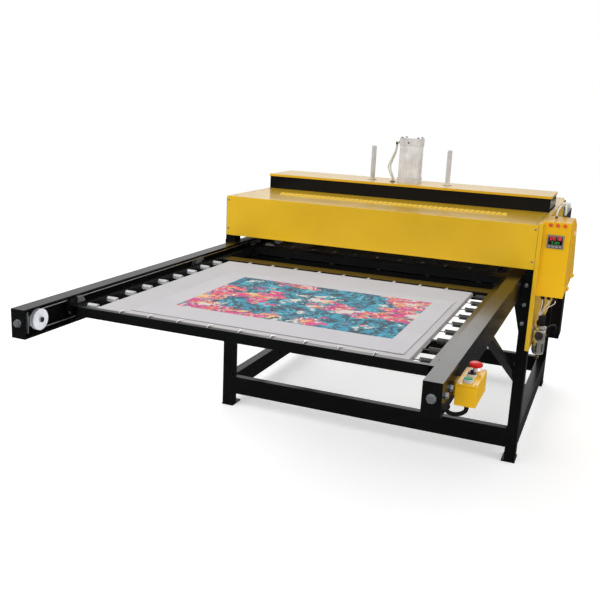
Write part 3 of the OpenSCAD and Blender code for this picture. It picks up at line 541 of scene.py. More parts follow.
def quads(nx, ny, first=0, flip=False):
    """Faces of a grid of nx by ny cells, whose corners run row by row"""
    out = []
    for j in range(ny):
        for i in range(nx):
            a, c = first + j * (nx + 1) + i, first + (j + 1) * (nx + 1) + i
            out.append((a, c, c + 1, a + 1) if flip else (a, a + 1, c + 1, c))
    return out


def mm(*v):
    """A place given in millimetres"""
    return tuple(x / 1000 for x in v)


# ---- frame, panels and boxes
for shade, bevel, nodes in (
        (BLACK, 0.003, "uprights frame_beams rail_supports bed_beams"),
        (BLACK, 0.002, "rail_left rail_right crosshead shuttle_side_members shuttle_cross_beams"),
        (BLACK, 0.0015, "valve_box"),
        (YELLOW, 0.0012, "top_lid front_cover rear_cover side_panel_left side_panel_right"),
        (WARM_YELLOW, 0.0012, "cabinet_door button_box"), (DARK_STEEL, 0.001, "bed_plate"),
        (HOT_ALU, 0.0015, "heater_plate"), (BOARD, 0.002, "insulation_board"),
        (DARK_STEEL, 0.002, "platen_frame"), (ZINC, 0.0012, "cable_tensioners"),
        (CAST_ALU, 0.002, "shaft_bearings"), (BLACK, 0.001, "cable_clamps"),
        (ALU, 0.0008, "idler_pulleys cylinder_barrel"), (CHROME, 0.0008, "button_bezels"),
        (CHROME, 0.0006, "door_lock"), (GREY_PLASTIC, 0.001, "temperature_controller cabinet_electrics"),
        (ALU, 0.0006, "front_pad_plate rear_pad_plate"), (STEEL, 0.0006, "drive_shaft"),
        (BRONZE, 0.001, "guide_bushings"), (CAST_ALU, 0.0012, "cylinder_caps"),
        (NYLON, 0.0015, "wheels_1 wheels_2 wheels_3 wheels_4")):
    for node in nodes.split():
        eased(node, shade, bevel)
for shade, nodes in ((CHROME, "guide_posts piston_rod estop_plunger"), (WIRE, "drive_cables")):
    for node in nodes.split():
        paint(node, shade)


def add_cabinet_shell():
    """Welded box: long sides with a slanted rear, the doorway in its right side, and hinge knuckles"""
    left, right, sheet = 0.78, 0.895, 0.002
    front, rear, bottom, top = -0.639, -0.06, 0.816, 1.148
    slant_low, slant_high, slant_front = 0.85, 1.103, -0.275
    top_rear = -0.43

    def outline(y0, z0, m):
        """The side view (y, z), drawn in by m at the rear and top"""
        slant = [(rear - m, slant_low - 0.37 * m), (slant_front - 0.57 * m, slant_high - 0.88 * m)]
        return [(y0, z0), (rear - m, z0), *slant, (top_rear - 0.14 * m, top - m), (y0, top - m)]

    outer = outline(front, bottom, 0)
    inner = outline(front + sheet, bottom + sheet, sheet)
    doorway = outline(-0.445, 0.84, 0.022)
    rings = [(left, outer), (right, outer), (right, doorway), (right - sheet, doorway),
             (right - sheet, inner), (left + sheet, inner)]
    verts = [(x, y, z) for x, ring in rings for y, z in ring]
    n = len(outer)
    faces = [tuple(range(n)), tuple(range(len(verts) - n, len(verts)))] + bands(len(rings), n)
    b = Build().use(WARM_YELLOW).add(verts, faces)
    b.piece("cabinet_box", "cabinet_shell", smooth=35, bevel=0.0012)
    b = Build()
    pin_x, pin_z, long = 0.901, 0.821, 0.025
    for y in (-0.46, -0.122):
        b.use(WARM_YELLOW).box((right - 0.016, y, 0.814), (pin_x, y + long, 0.816), 0.0005)
        b.lathe([(4.6, 0), (5, 0.4), (5, 24.6), (4.6, 25)], (pin_x, y, pin_z), Y, 24)
        b.use(STEEL).lathe([(2, 0), (2, 24.5), (1.6, 25)], (pin_x, y + long, pin_z), Y, 14)
    b.piece("cabinet_hinges", "cabinet_shell", adds=True)


add_cabinet_shell()


# ---- screws and bolts
def washer_bolt(b, at, axis, washer, hexagon, height, stub=0):
    """A washer, a hexagon head with its turned top, and the thread's end when it shows; sizes in mm"""
    disc = [(hexagon * 0.6, 0), (washer - 0.4, 0), (washer, 0.4), (washer, 1.2), (washer - 0.4, 1.5)]
    b.lathe(disc, at, axis, 28)
    head = [(hexagon, 1.5), (hexagon, height - 1.2), (hexagon * 0.9, height), (hexagon * 0.5, height + 0.1)]
    b.lathe(head, at, axis, 6, twist=0.4)
    if stub:
        b.lathe([(5.5, -stub), (5.5, 0)], at, axis, 16)


def pan_screw(b, at, axis, r, height):
    """A domed screw head with a dark hexagon socket; sizes in mm"""
    dome = [(1, 0), (1, 0.35), (0.88, 0.75), (0.6, 1), (0.45, 1), (0.42, 0.35)]
    b.use(STEEL).lathe([(r * u, height * v) for u, v in dome], at, axis, 20)
    b.use(DARK_STEEL).lathe([(r * 0.4, height * 0.3), (r * 0.4, height * 0.38)], at, axis, 6)


def add_fasteners():
    """A screw or bolt for each solid of the node; its axis is the side that differs most from the others"""
    b = Build()
    for low, high in islands("fasteners"):
        size, mid = high - low, (low + high) / 2
        odd = max(range(3), key=lambda i: min(abs(size[i] - size[j]) for j in range(3) if j != i))
        sign = 1 if mid[odd] > (1.0 if odd == 2 else 0) else -1
        axis = Vector([sign if i == odd else 0 for i in range(3)])
        foot = mid.copy()
        foot[odd] = low[odd] if sign > 0 else high[odd]
        if size[odd] < 0.003:
            pan_screw(b, foot, axis, 500 * size[(odd + 1) % 3], 1000 * size[odd])
        elif odd == 0:
            washer_bolt(b.use(ZINC), foot + axis * 0.012, axis, 11, 10, 8.5, 12)
        else:
            washer_bolt(b.use(ZINC), foot, axis, 9, 7.5, 6.5)
    b.piece("bolts", "fasteners")


add_fasteners()


# ---- louvres and small sheet details
def add_louvres():
    """Pressed hoods over the slots of both covers, in a lighter copy of the yellow that paints their
    highlight, each with a dark block along one side that paints the shade of its opening
    """
    b = Build()
    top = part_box("front_cover")[1][2]
    count, pitch, first, row_y = 46, 0.025511, -0.574, 0.382
    turn = math.radians(-35)
    long, wide, high = 0.0175, 0.0066, 0.0085
    rings, m = 9, 9
    for side in (-1, 1):
        along = Vector((-math.sin(turn), -side * math.cos(turn), 0))
        across = Vector((math.cos(turn), -side * math.sin(turn), 0))
        for i in range(count):
            at = Vector((first + i * pitch, side * row_y, top))
            verts = []
            for r in range(rings):
                v = -math.cos(math.pi * r / (rings - 1))
                lift = math.sqrt(max(0.0, 1 - v * v)) * 0.96 + 0.04
                for k in range(m):
                    u = math.cos(math.pi * k / (m - 1))
                    rise = high * lift * math.sqrt(max(0.0, 1 - u * u)) - 0.0003
                    verts.append(at + along * (v * long) + across * (u * wide * lift) + Z * rise)
            ends = [tuple(range(m)), tuple(range(len(verts) - m, len(verts)))]
            # Each hood takes the lighter yellow copy, a painted highlight
            b.use(YELLOW_PAINTED_HIGHLIGHT).add(verts, ends + bands(rings, m))
            # A dark block along one side of each hood paints the shade of its opening; the hood itself is
            # closed
            foot = [at + along * (w * long) - across * (wide * c)
                    for w, c in ((-0.6, 0.8), (0.6, 0.8), (0.6, 0.92), (-0.6, 0.92))]
            b.use(DARK_STEEL).add([f + Z * z for z in (0.0002, 0.0022) for f in foot], BOX_FACES)
    b.piece("louvre_hoods", "front_cover", adds=True, smooth=60)


add_louvres()


# ---- springs and hooks
def ring(r, steps=16):
    """Points of a level ring around the origin"""
    turns = [2 * math.pi * k / steps for k in range(steps)]
    return [Vector((r * math.cos(w), r * math.sin(w), 0)) for w in turns]


def coil_spring(b, start, end, r, wire, turns):
    """An extension spring's coil near the start, with straight wire on both sides"""
    a, z = Vector(start), Vector(end)
    axis = (z - a).normalized()
    side = axis.cross(Z)
    length, lead = 0.04, 0.003
    head = ((z - a).length - length) * 0.3
    steps = turns * 10
    pts = [a, a + axis * (head - lead)]
    for k in range(steps + 1):
        w = 2 * math.pi * turns * k / steps
        pts.append(a + axis * (head + length * k / steps) + (side * math.cos(w) + Z * math.sin(w)) * r)
    pts += [a + axis * (head + length + lead), z]
    b.sweep(pts, wire, 5)


def add_springs(node, pad, centre):
    """Springs that hold a pad on both sides, and hooks with eyelets along its near and far edges"""
    lo, hi = corners(pad)
    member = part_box("shuttle_side_members")[1][0] - 0.03
    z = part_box(pad + "_plate")[0][2] + 0.007
    top = hi.z
    for sign, name in ((-1, "left"), (1, "right")):
        b = Build()
        # Left springs take the bright wire and right springs its darker copy, which paints their shade
        wire = SPRING if sign < 0 else SPRING_PAINTED_SHADE
        inner, outer = sign * (hi.x + 0.0005), sign * (member - 0.0005)
        for i in range(-4, 5):
            y = centre + i * 0.115
            b.use(wire)
            coil_spring(b, (inner, y, z), (outer - sign * 0.006, y, z), 0.0084, 0.0019, 10)
            eye = Vector((inner + sign * 0.003, y, z))
            b.sweep([eye + Vector((-sign * p.x, p.y, 0)) for p in ring(0.004, 14)], 0.0011, 5, closed=True)
            hook = [(0.012, 0), (0.006, 0), (0.001, 0), (0.0, 0.004), (0.0, 0.0085)]
            b.use(BLACK).sweep([Vector((outer - sign * u, y, z + h)) for u, h in hook], 0.0017, 6)
            leaf = sorted((outer, outer - sign * 0.0015))
            b.box((leaf[0], y - 0.006, z - 0.007), (leaf[1], y + 0.006, z + 0.0085), 0.0005)
        ob = b.piece(f"{node}_{name}", node, rides=False)
        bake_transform(ob)
    for sign, name, edge in ((-1, "near", lo.y), (1, "far", hi.y)):
        b = Build().use(SPRING)
        hook = [(-0.008, -0.0028), (-0.006, 0.0004), (-0.002, 0.0012), (0.004, 0.0012), (0.009, 0.001),
                (0.013, -0.0006), (0.015, -0.006), (0.014, -0.012)]
        for i in range(-4, 5):
            x = i * 0.114
            b.sweep(curve([Vector((x, edge + sign * u, top + 0.0022 + h)) for u, h in hook], 4), 0.0017, 8)
            eye = Vector((x, edge - sign * 0.01, top))
            b.sweep([eye + Z * 0.0018 + p for p in ring(0.0062)], 0.0016, 6, closed=True)
            b.lathe([(5.5, 0), (6, 0.6), (5, 1.8), (2, 2.2)], eye - Z * 0.0002, Z, 14)
        ob = b.piece(f"{node}_{name}", node, rides=False)
        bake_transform(ob)


add_springs("front_springs", "front_pad", -1.495)
add_springs("rear_springs", "rear_pad", 0.0)


# ---- pads and print
def slab(node, name, shade, edge_shade, dent, seed):
    """A soft slab: rounded rim, slightly wavy sides and a top with low undulations up to dent deep"""
    lo, hi = corners(node)
    nx, ny = 110, 100
    rim = [(0.0, 0.0), (0.0, 0.35), (0.0004, 0.62), (0.0016, 0.85), (0.0035, 0.97)]
    h = hi.z - lo.z
    outline = [(k / nx, 0) for k in range(nx)] + [(1, k / ny) for k in range(ny)]
    outline += [(1 - k / nx, 1) for k in range(nx)] + [(0, 1 - k / ny) for k in range(ny)]
    m = len(outline)

    def place(u, v, inset):
        return lo.x + inset + u * (hi.x - lo.x - 2 * inset), lo.y + inset + v * (hi.y - lo.y - 2 * inset)

    verts = []
    for inset, level in rim:
        for u, v in outline:
            x, y = place(u, v, inset)
            wave = 0.0006 * noise.noise(Vector((x * 9, y * 9, seed))) if 0 < level < 0.9 else 0
            verts.append((x + wave * (u in (0, 1)), y + wave * (v in (0, 1)), lo.z + level * h))
    # The rim takes edge_shade; for the felt pad it is a darker copy of the felt that paints shade on the edge
    b = Build().use(edge_shade)
    b.add(verts, bands(len(rim), m)).add(verts[:m], [tuple(range(m))[::-1]])
    grid = []
    for j in range(ny + 1):
        for i in range(nx + 1):
            x, y = place(i / nx, j / ny, rim[-1][0])
            broad = 0.5 + 0.5 * noise.noise(Vector((x * 3.1, y * 3.1, seed)))
            fine = 0.6 * max(0, noise.noise(Vector((x * 11, y * 11, seed + 3))))
            rimmed = i in (0, nx) or j in (0, ny)
            grid.append((x, y, lo.z + rim[-1][1] * h if rimmed else hi.z - 0.0001 - dent * (broad + fine)))
    b.use(shade).add(grid, quads(nx, ny))
    return b.piece(name, node, smooth=60)


# The felt pad's rim is a darker copy of its felt: painted shade
felt_pad = slab("front_pad", "felt_pad", FELT, FELT_RIM_PAINTED_SHADE, 0.0007, 1.7)
silicone_pad = slab("rear_pad", "silicone_pad", PAD_DARK, PAD_DARK, 0.0005, 5.1)


def add_print():
    """The printed sheet: lies on the felt, with low ripples, a ridge and a right edge that lifts a little"""
    lo, hi = corners("print_sheet")
    nx, ny, thick, ridge_x = 150, 116, 0.00035, 0.487
    top, low = [], []
    for j in range(ny + 1):
        for i in range(nx + 1):
            u, v = i / nx, j / ny
            x, y = lo.x + u * (hi.x - lo.x), lo.y + v * (hi.y - lo.y)
            ripple = 0.0009 * max(0.0, noise.noise(Vector((x * 2.4, y * 3.4, 0.3)))) \
                + 0.0005 * max(0.0, noise.noise(Vector((x * 13, y * 9, 2.2))))
            edge = max(0.0, (u - 0.955) / 0.045)
            curl = edge ** 1.6 * (0.0006 + 0.0016 * (0.5 + 0.5 * noise.noise(Vector((0, y * 7, 4.0)))))
            near = max(0.0, (0.03 - v) / 0.03) ** 2 * 0.0012
            off = x - ridge_x - 0.006 * noise.noise(Vector((y * 6, 0, 1)))
            ridge = 0.0012 * math.exp(-(off / 0.004) ** 2)
            sway = 0.0025 * noise.noise(Vector((y * 5, 7, 1))) * edge
            z = lo.z + 0.00005 + ripple + curl + near + ridge
            low.append((x + sway, y, z))
            top.append((x + sway, y, z + thick))
    m = len(low)
    rim = list(range(nx + 1)) + [j * (nx + 1) + nx for j in range(1, ny + 1)] \
        + [ny * (nx + 1) + i for i in range(nx - 1, -1, -1)] + [j * (nx + 1) for j in range(ny - 1, 0, -1)]
    faces = quads(nx, ny) + quads(nx, ny, m, flip=True)
    faces += [(a, c, m + c, m + a) for a, c in zip(rim, rim[1:] + rim[:1])]
    print_low, print_high = (-0.349, -1.816), (0.459, -1.266)
    b = Build().use(printed_cloth("printed_cloth", print_low, print_high)).add(top + low, faces)
    ob = b.piece("printed_sheet", "print_sheet", smooth=60)


add_print()


# ---- air cylinder
def add_cylinder_details():
    """Cap screws at both ends, port fittings with elbows, and the hose grommet in the lid"""
    cap_top, rod_cap_top, screw = 1.443, 1.236, 0.043
    port_z, port_x, elbow_x = cap_top - 0.024, -0.0555, -0.071
    b = Build().use(DARK_STEEL)
    for x in (-screw, screw):
        for y in (-screw, screw):
            for z, foot, well in ((cap_top, -0.2, 2), (rod_cap_top, 0, 2.2)):
                b.lathe([(6.2, foot), (6.2, 4), (5.6, 4.6), (3.4, 4.6), (3.2, well)], (x, y, z), Z, 22)
    b.lathe([(4, 0), (4, 1.2), (3, 1.6)], (-0.004, -0.0556, port_z), -Y, 16)
    for y in (-0.044, -0.034):
        b.use(BLACK_PLASTIC).lathe([(5.4, 0), (5.4, 11), (4.8, 12)], (elbow_x, y, port_z - 0.0105), Z, 20)
        b.use(BRASS).lathe([(6, 0), (6, 6)], (port_x, y, port_z), -X, 6)
        b.use(GREY_PLASTIC).lathe([(5.6, 0), (6, 0.6), (6, 2), (4.6, 2.6)],
                                  (elbow_x, y, port_z - 0.0145), -Z, 20)
    grommet = [(14.2, 0), (15, 1.2), (14.6, 3.4), (12, 4.2), (9, 3.6)]
    b.use(RUBBER_HOSE).lathe(grommet, (-0.078, -0.05, 1.208), Z, 28)
    b.piece("cylinder_details", "cylinder_caps", adds=True)


add_cylinder_details()


def add_hose(name, node, shades, routes, radii):
    """Hoses along curves through the points of their routes, in millimetres"""
    b = Build()
    gap = 0.006
    for shade, route, r in zip(shades, routes, radii):
        pts = resample(curve([Vector(mm(*p)) for p in route], 8), gap) + [Vector(mm(*route[-1]))]
        b.use(shade).sweep(pts, r, 14)
    b.piece(name, node, smooth=60)


add_hose("cylinder_air_hoses", "cylinder_hoses", (CLEAR_HOSE, CLEAR_HOSE), (
    [(-71, -44, 1405), (-71, -44, 1397), (-78, -45, 1367), (-95, -48, 1325), (-107, -50, 1290),
     (-97, -50, 1258), (-82.5, -50, 1230), (-82.5, -50, 1216), (-82.5, -50, 1170)],
    [(-71, -34, 1405), (-71, -34, 1397), (-76, -36, 1363), (-88, -42, 1325), (-97, -45, 1290),
     (-87, -49, 1258), (-73.5, -50, 1230), (-73.5, -50, 1216), (-73.5, -50, 1170)]), (0.0038, 0.0038))
UX, UY = 812, -565
add_hose("air_hoses", "air_tubes", (RUBBER_HOSE, CLEAR_HOSE, CLEAR_HOSE), (
    [(UX, UY + 40, 620), (UX, UY + 50, 620), (UX + 1, UY + 61, 620), (UX + 18, UY + 110, 628),
     (UX + 42, UY + 160, 632), (UX + 54, UY + 215, 612), (UX + 52, UY + 265, 578), (UX + 43, UY + 300, 557),
     (UX + 40, UY + 313, 555), (UX + 40, -240, 555)],
    [(820, -520, 1148), (820, -520, 1158), (820, -517, 1169), (822, -495, 1184), (826, -430, 1194),
     (826, -300, 1188), (820, -50, 1166), (802, 200, 1138), (796, 250, 1128), (796, 263, 1128),
     (796, 276, 1128)],
    [(852, -450, 1148), (852, -450, 1158), (852, -447, 1169), (851, -428, 1184), (846, -370, 1196),
     (842, -260, 1186), (836, -50, 1166), (820, 200, 1138), (812, 250, 1128), (812, 263, 1128),
     (812, 276, 1128)]), (0.0055, 0.0038, 0.0038))


def add_conduit():
    """Corrugated conduit in a loop from the button box to the rail, with a nut at each end"""
    box_x, box_y, box_z = 0.762, -2.104, 0.813
    rail_x, rail_y, rail_z = 0.711, -2.13, 0.805
    start, end = Vector((box_x, box_y, 0)), Vector((rail_x, rail_y, 0))
    mid, half = (start + end) / 2, (end - start) / 2
    route = [start + Z * box_z, start + Z * (box_z - 0.009)]
    for w in range(0, 181, 15):
        w = math.radians(w)
        route.append(mid - half * math.cos(w) + Z * (0.796 - 0.017 * math.sin(w)))
    route += [end + Z * (rail_z - 0.005), end + Z * rail_z]
    b = Build().use(RUBBER_HOSE)
    b.sweep(resample(curve(route, 8), 0.0011), 0.0065, 16, lambda i: 1.0 if i % 3 else 0.86)
    b.use(BLACK_PLASTIC)
    for at in (start + Z * (box_z - 0.001), end + Z * rail_z):
        b.lathe([(10.5, 0), (10.5, 6), (9.2, 8), (8, 10)], at, -Z, 12)
    b.piece("corrugated_conduit", "conduit", smooth=60)


add_conduit()


# ---- air unit
def add_filter(b, axis):
    """Filter regulator: body with a ribbed collar, bowl with its guard's slots, and the drain"""
    b.use(BOWL_STEEL).box(axis + Vector((-0.026, -0.026, 0.596)), axis + Vector((0.026, 0.026, 0.645)), 0.004,
                          segments=3)
    b.lathe([(27.5, 590), (27.5, 596)], axis, Z, 36)
    collar = [(20, 645), (28, 647), (28, 657.5), (26.5, 659), (15, 660), (15, 675)]
    b.lathe(collar, axis, Z, 40, ribs=20, rib=0.8)
    b.lathe([(24, 535), (26.2, 537.5), (26.2, 586), (27.5, 588), (27.5, 592.5)], axis, Z, 40)
    b.use(CLEAR_BOWL).lathe([(24.5, 532.5), (24.5, 535.2)], axis, Z, 36)
    b.use(DARK_PLASTIC)
    for k in range(6):
        w = 2 * math.pi * k / 6 + 0.3
        p = axis + Vector((math.cos(w), math.sin(w), 0)) * 0.0266
        b.box((p.x - 0.003, p.y - 0.003, 0.545), (p.x + 0.003, p.y + 0.003, 0.583), 0.001)
    b.use(BOWL_STEEL).lathe([(14, 527), (20, 529), (22, 535)], axis, Z, 32)
    b.use(BRASS).lathe([(4.5, 505), (8, 506), (8, 516), (6.5, 518), (6.5, 527)], axis, Z, 24)


def add_gauge(b, at):
    """Pressure gauge: rim, pale dial with eleven strokes, hand and hub"""
    b.use(BRASS).lathe([(6, 0), (6, 6)], at, -Y, 8)
    rim = [(16.5, 4.5), (19, 5.2), (19, 11.5), (17.5, 12.2), (16.8, 10.8)]
    b.use(DARK_STEEL).lathe(rim, at, -Y, 44)
    b.use(WHITE_PLASTIC).lathe([(16.8, 10), (16.8, 10.6)], at, -Y, 40)
    face = at - Y * 0.0108
    b.use(BLACK_PLASTIC)
    for k in range(11):
        w = math.radians(225 - 27 * k)
        ray = Vector((math.cos(w), 0, math.sin(w)))
        b.sweep([face + ray * 0.0145, face + ray * 0.012], 0.0003 if k % 5 else 0.0006, 4)
    b.use(RED_PLASTIC).sweep([face, face + Vector((-0.006, 0, 0.0095))], 0.0005, 5)
    b.use(BLACK_PLASTIC).lathe([(2.2, 0), (2.2, 1)], face, -Y, 14)


def add_air_unit():
    """Filter regulator with its gauge, bracket and fittings, and the elbow at the far end of the tubes"""
    axis = Vector((UX / 1000, UY / 1000, 0))
    port, elbow_z = axis + Z * 0.62, 1.128
    b = Build()
    add_filter(b, axis)
    add_gauge(b, axis + Vector((0, -0.026, 0.622)))
    b.use(ZINC).box(axis + Vector((-0.032, -0.02, 0.6)), axis + Vector((-0.0258, 0.02, 0.66)), 0.001)
    b.use(BRASS).lathe([(9, 0), (9, 8)], port + Y * 0.026, Y, 6)
    b.use(BLACK_PLASTIC).lathe([(8.5, 8), (8.5, 13.5), (6.2, 14.5)], port + Y * 0.026, Y, 24)
    b.use(BRASS).lathe([(8, 0), (8, 4.5), (6.5, 5)], port + X * 0.0258, X, 6)
    b.use(CAST_ALU).lathe([(12, 0), (12, 43), (10.8, 44.5)], (0.78, 0.3, elbow_z), X, 30)
    for x in (0.796, 0.812):
        b.use(BRASS).lathe([(6.2, 0), (6.2, 12)], (x, 0.3, elbow_z), -Y, 6)
        b.use(WHITE_PLASTIC).lathe([(5.8, 12), (5.8, 23), (4.6, 24.5)], (x, 0.3, elbow_z), -Y, 22)
    b.piece("air_unit_details", "air_unit", smooth=40, bevel=0.0002)
    b = Build().use(BLACK_PLASTIC)
    knob = [(15.8, 664), (18.5, 665), (19, 668), (19, 711.5), (17.5, 714.5), (10, 715)]
    b.lathe(knob, axis, Z, 72, ribs=24, rib=1)
    b.use(GREY_PLASTIC).lathe([(7.5, 714.8), (7.5, 715.2)], axis, Z, 24)
    b.piece("regulator_cap", "regulator_knob", smooth=30)


add_air_unit()


# ---- cabinet front
SEGMENTS = {"0": "abcdef", "1": "bc", "8": "abcdefg"}


def digit(b, glyph, x, z, w, h, y):
    """A seven-segment figure drawn with bars; their corners are (left, low, right, high)"""
    t, gap = h * 0.13, h * 0.013
    bars = {"a": (0, h - t, w, h), "g": (0, (h - t) / 2, w, (h + t) / 2), "d": (0, 0, w, t),
            "f": (0, h / 2, t, h), "b": (w - t, h / 2, w, h),
            "e": (0, 0, t, h / 2), "c": (w - t, 0, w, h / 2)}
    for k in SEGMENTS[glyph]:
        x0, z0, x1, z1 = bars[k]
        b.box((x + x0 + gap, y - 0.0002, z + z0 + gap), (x + x1 - gap, y + 0.0002, z + z1 - gap))


def add_controller(x0, y, z0):
    """Window, two rows of lit figures and the four keys of the temperature controller"""
    b = Build()
    b.use(WINDOW).box((x0 + 0.0253, y - 0.0047, z0 + 0.2343), (x0 + 0.0867, y - 0.004, z0 + 0.2718), 0.0002)
    b.use(LIT_RED)
    for k, glyph in enumerate("0018"):
        digit(b, glyph, x0 + 0.034 + k * 0.0125, z0 + 0.2545, 0.0082, 0.0145, y - 0.0049)
    b.use(LIT_GREEN)
    for k, glyph in enumerate("0180"):
        digit(b, glyph, x0 + 0.042 + k * 0.0085, z0 + 0.2385, 0.0056, 0.0105, y - 0.0049)
    b.use(DARK_PLASTIC)
    b.box((x0 + 0.024, y - 0.0064, z0 + 0.2195), (x0 + 0.088, y - 0.0058, z0 + 0.2325), 0.0003)
    b.use(KEY_PLASTIC)
    for k in range(4):
        key = x0 + 0.0265 + k * 0.0153
        b.box((key, y - 0.0071, z0 + 0.2218), (key + 0.012, y - 0.0062, z0 + 0.2302), 0.0004)
    b.piece("controller_face", "temperature_controller", adds=True)


def add_lamps(x0, y, z0):
    """Three red pilot lamps with ribbed lenses"""
    b = Build().use(LAMP_RED)
    for k in range(3):
        at = Vector((x0 + 0.029 + 0.03 * k, y, z0 + 0.318))
        b.lathe([(4.8, -22), (4.8, 0), (8, 0), (8, 1.6), (7.2, 2.2)], at, -Y, 32)
        b.lathe([(6.6, 1.8), (6.6, 4.5), (5.8, 6.8), (3.6, 8)], at, -Y, 24, ribs=12, rib=0.4)
    b.piece("lamps", "pilot_lamps")


def add_cabinet_fittings(x0, y, z0):
    """Glands under the cabinet with thin wires to the regulator, tube fittings on top, and the mains gland"""
    b = Build()
    for k in range(3):
        at = Vector((x0 + 0.03 + 0.026 * k, y + 0.02, z0))
        b.use(BLACK_PLASTIC).lathe([(9.5, 0), (9.5, 4)], at, -Z, 6)
        b.lathe([(8.5, 4), (8.5, 12), (6.2, 16), (4, 17)], at, -Z, 20)
        end = Vector((0.797 + 0.004 * k, -0.578, 0.69))
        middle = (at + end) / 2 + X * (0.004 - 0.004 * k)
        route = [at - Z * 0.012, at - Z * 0.03 + X * 0.002, middle, end + Z * 0.02, end]
        b.use(WHITE_PLASTIC).sweep(curve(route, 8), 0.0017, 10)
    top = 1.148
    for x, place in ((0.82, -0.52), (0.852, -0.45)):
        b.use(BRASS).lathe([(7.5, 0), (7.5, 5)], (x, place, top), Z, 6)
        b.use(BLACK_PLASTIC).lathe([(6, 5), (6, 10), (4.6, 11.5)], (x, place, top), Z, 20)
    b.use(GREY_PLASTIC).lathe([(13.5, -1), (13.5, 3)], (0.87, -0.47, 0.812), -Z, 6)
    b.piece("cabinet_fittings", "temperature_controller", adds=True)


CABINET_CORNER = (0.78, -0.639, 0.816)
add_controller(*CABINET_CORNER)
add_lamps(*CABINET_CORNER)
add_cabinet_fittings(*CABINET_CORNER)


# ---- button box
def add_buttons():
    """Start cap, two-position selector, emergency-stop head and the box's screws"""
    x, top = 0.76, 0.875
    start, knob, stop = -2.11, -2.055, -2.000
    b = Build().use(GREEN_PLASTIC)
    cap = [(6, -14), (6, 7.5), (11.9, 7.7), (12.2, 8.4), (12.2, 12.2), (11.2, 13.2), (6, 13.4)]
    b.lathe(cap, (x, start, top), Z, 44)
    b.piece("start_cap", "start_button")
    b = Build().use(BLACK_PLASTIC)
    grip = [(6, -14), (6, 4.3), (11.8, 4.5), (12.2, 5.4), (12.2, 11), (11.2, 12.2)]
    b.lathe(grip, (x, knob, top), Z, 72, ribs=24, rib=0.5)
    b.box((x - 0.004, knob - 0.01, top + 0.0118), (x + 0.004, knob + 0.01, top + 0.0228), 0.0014, 3)
    b.use(WHITE_PLASTIC)
    b.box((x - 0.0011, knob - 0.0096, top + 0.0226), (x + 0.0011, knob + 0.006, top + 0.023))
    b.piece("selector", "selector_knob")
    dome = [(10, 12), (16.5, 12.8), (19, 15), (19.9, 18), (19.9, 20), (19.3, 22),
            (18, 23.8), (15.8, 25.3), (12.8, 26.3), (9, 26.8), (4.5, 27)]
    Build().use(RED_PLASTIC).lathe(dome, (x, stop, top), Z, 60).piece("stop_head", "estop_head")
    b = Build()
    for screw_x in (0.7365, 0.7845):
        for screw_y in (-2.1285, -1.9815):
            pan_screw(b, (screw_x, screw_y, top), Z, 3, 1.4)
    b.use(BLACK_PLASTIC).box((0.7339, -2.1335, 0.869), (0.7872, -2.1341, 0.8696))
    b.piece("box_screws", "button_box", adds=True)


add_buttons()


# ---- drive end
def add_gear_motor():
    """Worm gearbox under the rail's end, with the finned motor that hangs from it"""
    mid_y, flange, shaft_z = 2.165, 0.805, 0.858
    x0, x1 = -0.651, -0.561
    plate = flange - 0.008
    b = Build().use(MOTOR_PAINT)
    b.box((x0, mid_y - 0.044, flange), (x1, mid_y + 0.044, shaft_z + 0.044), 0.008, segments=3)
    b.lathe([(34, 0), (34, 1.5)], (x1 - 0.0005, mid_y, shaft_z), X, 40)
    b.box((x0 - 0.06, mid_y - 0.044, plate), (x1, mid_y + 0.044, flange - 0.0002), 0.0015)
    axis = Vector(((x0 + x1) / 2, mid_y, 0))
    neck, foot = flange - 0.02, flange - 0.188
    b.lathe([(41, 0), (41, 12)], axis + Z * neck, Z, 48)
    b.lathe([(41.8, 0), (41.8, 168)], axis + Z * foot, Z, 96, ribs=32, rib=4.5)
    b.use(BLACK_PLASTIC).lathe([(30, -18), (36, -14), (37, 2)], axis + Z * foot, Z, 48)
    b.use(MOTOR_PAINT).box((axis.x - 0.026, mid_y + 0.036, flange - 0.12),
                           (axis.x + 0.026, mid_y + 0.043, flange - 0.06), 0.002)
    b.use(ZINC)
    for dx in (-0.034, 0.034):
        for dy in (-0.034, 0.034):
            b.lathe([(5, 0), (5, 3.5), (4.4, 4)], (axis.x + dx, mid_y + dy, shaft_z + 0.0435), Z, 6)
    for dx in (-0.05, -0.012):
        for dy in (-0.032, 0.032):
            washer_bolt(b, (x0 + dx, mid_y + dy, plate), -Z, 8, 6.5, 5.5)
    b.piece("gear_motor", "gearmotor", smooth=30)


def add_idler_details():
    """End of the idler's axle and the bracket's screws in the front of each rail"""
    y, z = -2.165, 0.858
    b = Build()
    for side in (-1, 1):
        inward = (-side, 0, 0)
        b.use(DARK_STEEL).lathe([(9.2, 0), (9.2, 0.6), (6.5, 1), (3, 0.2)],
                                (side * 0.654, y, z), inward, 28)
        for dy in (-0.032, 0.032):
            b.use(ZINC).lathe([(4.8, 0), (4.8, 3), (4, 3.4)], (side * 0.6765, y + dy, z), inward, 6)
    b.piece("drive_details", "cable_tensioners", adds=True)


add_gear_motor()
add_idler_details()


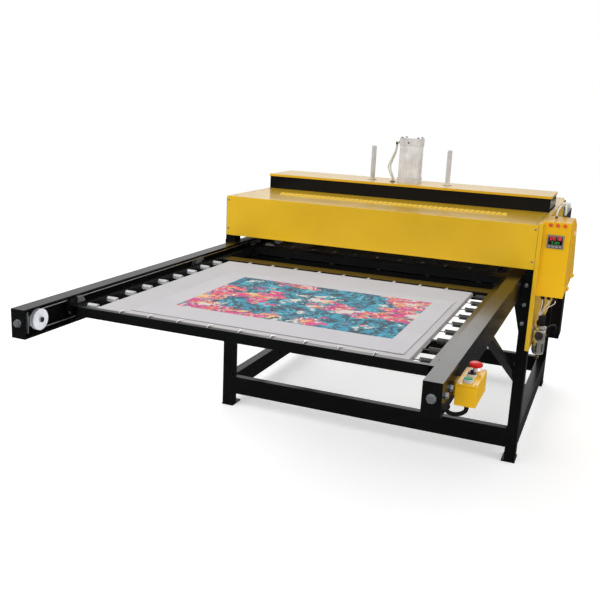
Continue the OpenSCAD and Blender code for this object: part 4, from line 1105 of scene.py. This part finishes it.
# ---- stage
def add_stage():
    """A round pale floor, three soft lights and the backdrop"""
    mesh = bpy.data.meshes.new("floor")
    mesh.from_pydata(ring(30, 96), [], [tuple(range(96))])
    floor = bpy.data.objects.new("floor", mesh)
    SCENE.collection.objects.link(floor)
    floor.visible_glossy = False
    ground = Shade("floor_paint", (0.88, 0.88, 0.88), 0.9, Emission_Color=(1.0, 1.0, 1.0),
                   Emission_Strength=0.4, IOR=1.1)
    mesh.materials.append(ground.mat)
    SCENE.world = studio()
    aim = Vector((0, -0.6, 0.9))
    for name, place, size, power in (("key", (-3.2, -4.6, 4.2), 3.0, 105),
                                     ("fill", (6.0, -1.0, 2.4), 2.5, 90),
                                     ("back", (-1.5, 4.5, 4.0), 3.0, 60)):
        light = bpy.data.lights.new(name, "AREA")
        light.shape = "SQUARE"
        light.size = size
        light.energy = power
        ob = bpy.data.objects.new(name, light)
        ob.location = place
        ob.rotation_euler = (aim - Vector(place)).to_track_quat("-Z", "Y").to_euler()
        ob.visible_glossy = name == "back"
        ob.visible_camera = False
        SCENE.collection.objects.link(ob)
    SCENE.view_settings.view_transform = "Standard"


def studio():
    """White backdrop, even light on matt faces, and reflections that are bright above and dark below."""
    world = bpy.data.worlds.new("studio")
    world.use_nodes = True
    tree = world.node_tree
    back = tree.nodes["Background"]
    path = add_node(tree, "LightPath")
    split = add_node(tree, "Split", {0: add_node(tree, "TexCoord").outputs["Generated"]})

    def calc(op, a, b, clamp=False):
        return add_node(tree, "Math", {0: a, 1: b}, operation=op, use_clamp=clamp).outputs[0]

    horizon = calc("ADD", calc("MULTIPLY", split.outputs[2], 4.0), 0.45, True)
    rise = calc("ADD", calc("MULTIPLY", horizon, 0.85), 0.06)
    glossy, seen = path.outputs["Is Glossy Ray"], path.outputs["Is Camera Ray"]
    level = calc("ADD", calc("MULTIPLY", rise, glossy), calc("MULTIPLY", calc("SUBTRACT", 1.0, glossy), 0.68))
    level = calc("ADD", calc("MULTIPLY", level, calc("SUBTRACT", 1.0, seen)), seen)
    tree.links.new(level, back.inputs["Strength"])
    back.inputs["Color"].default_value = (1, 1, 1, 1)
    return world


add_stage()
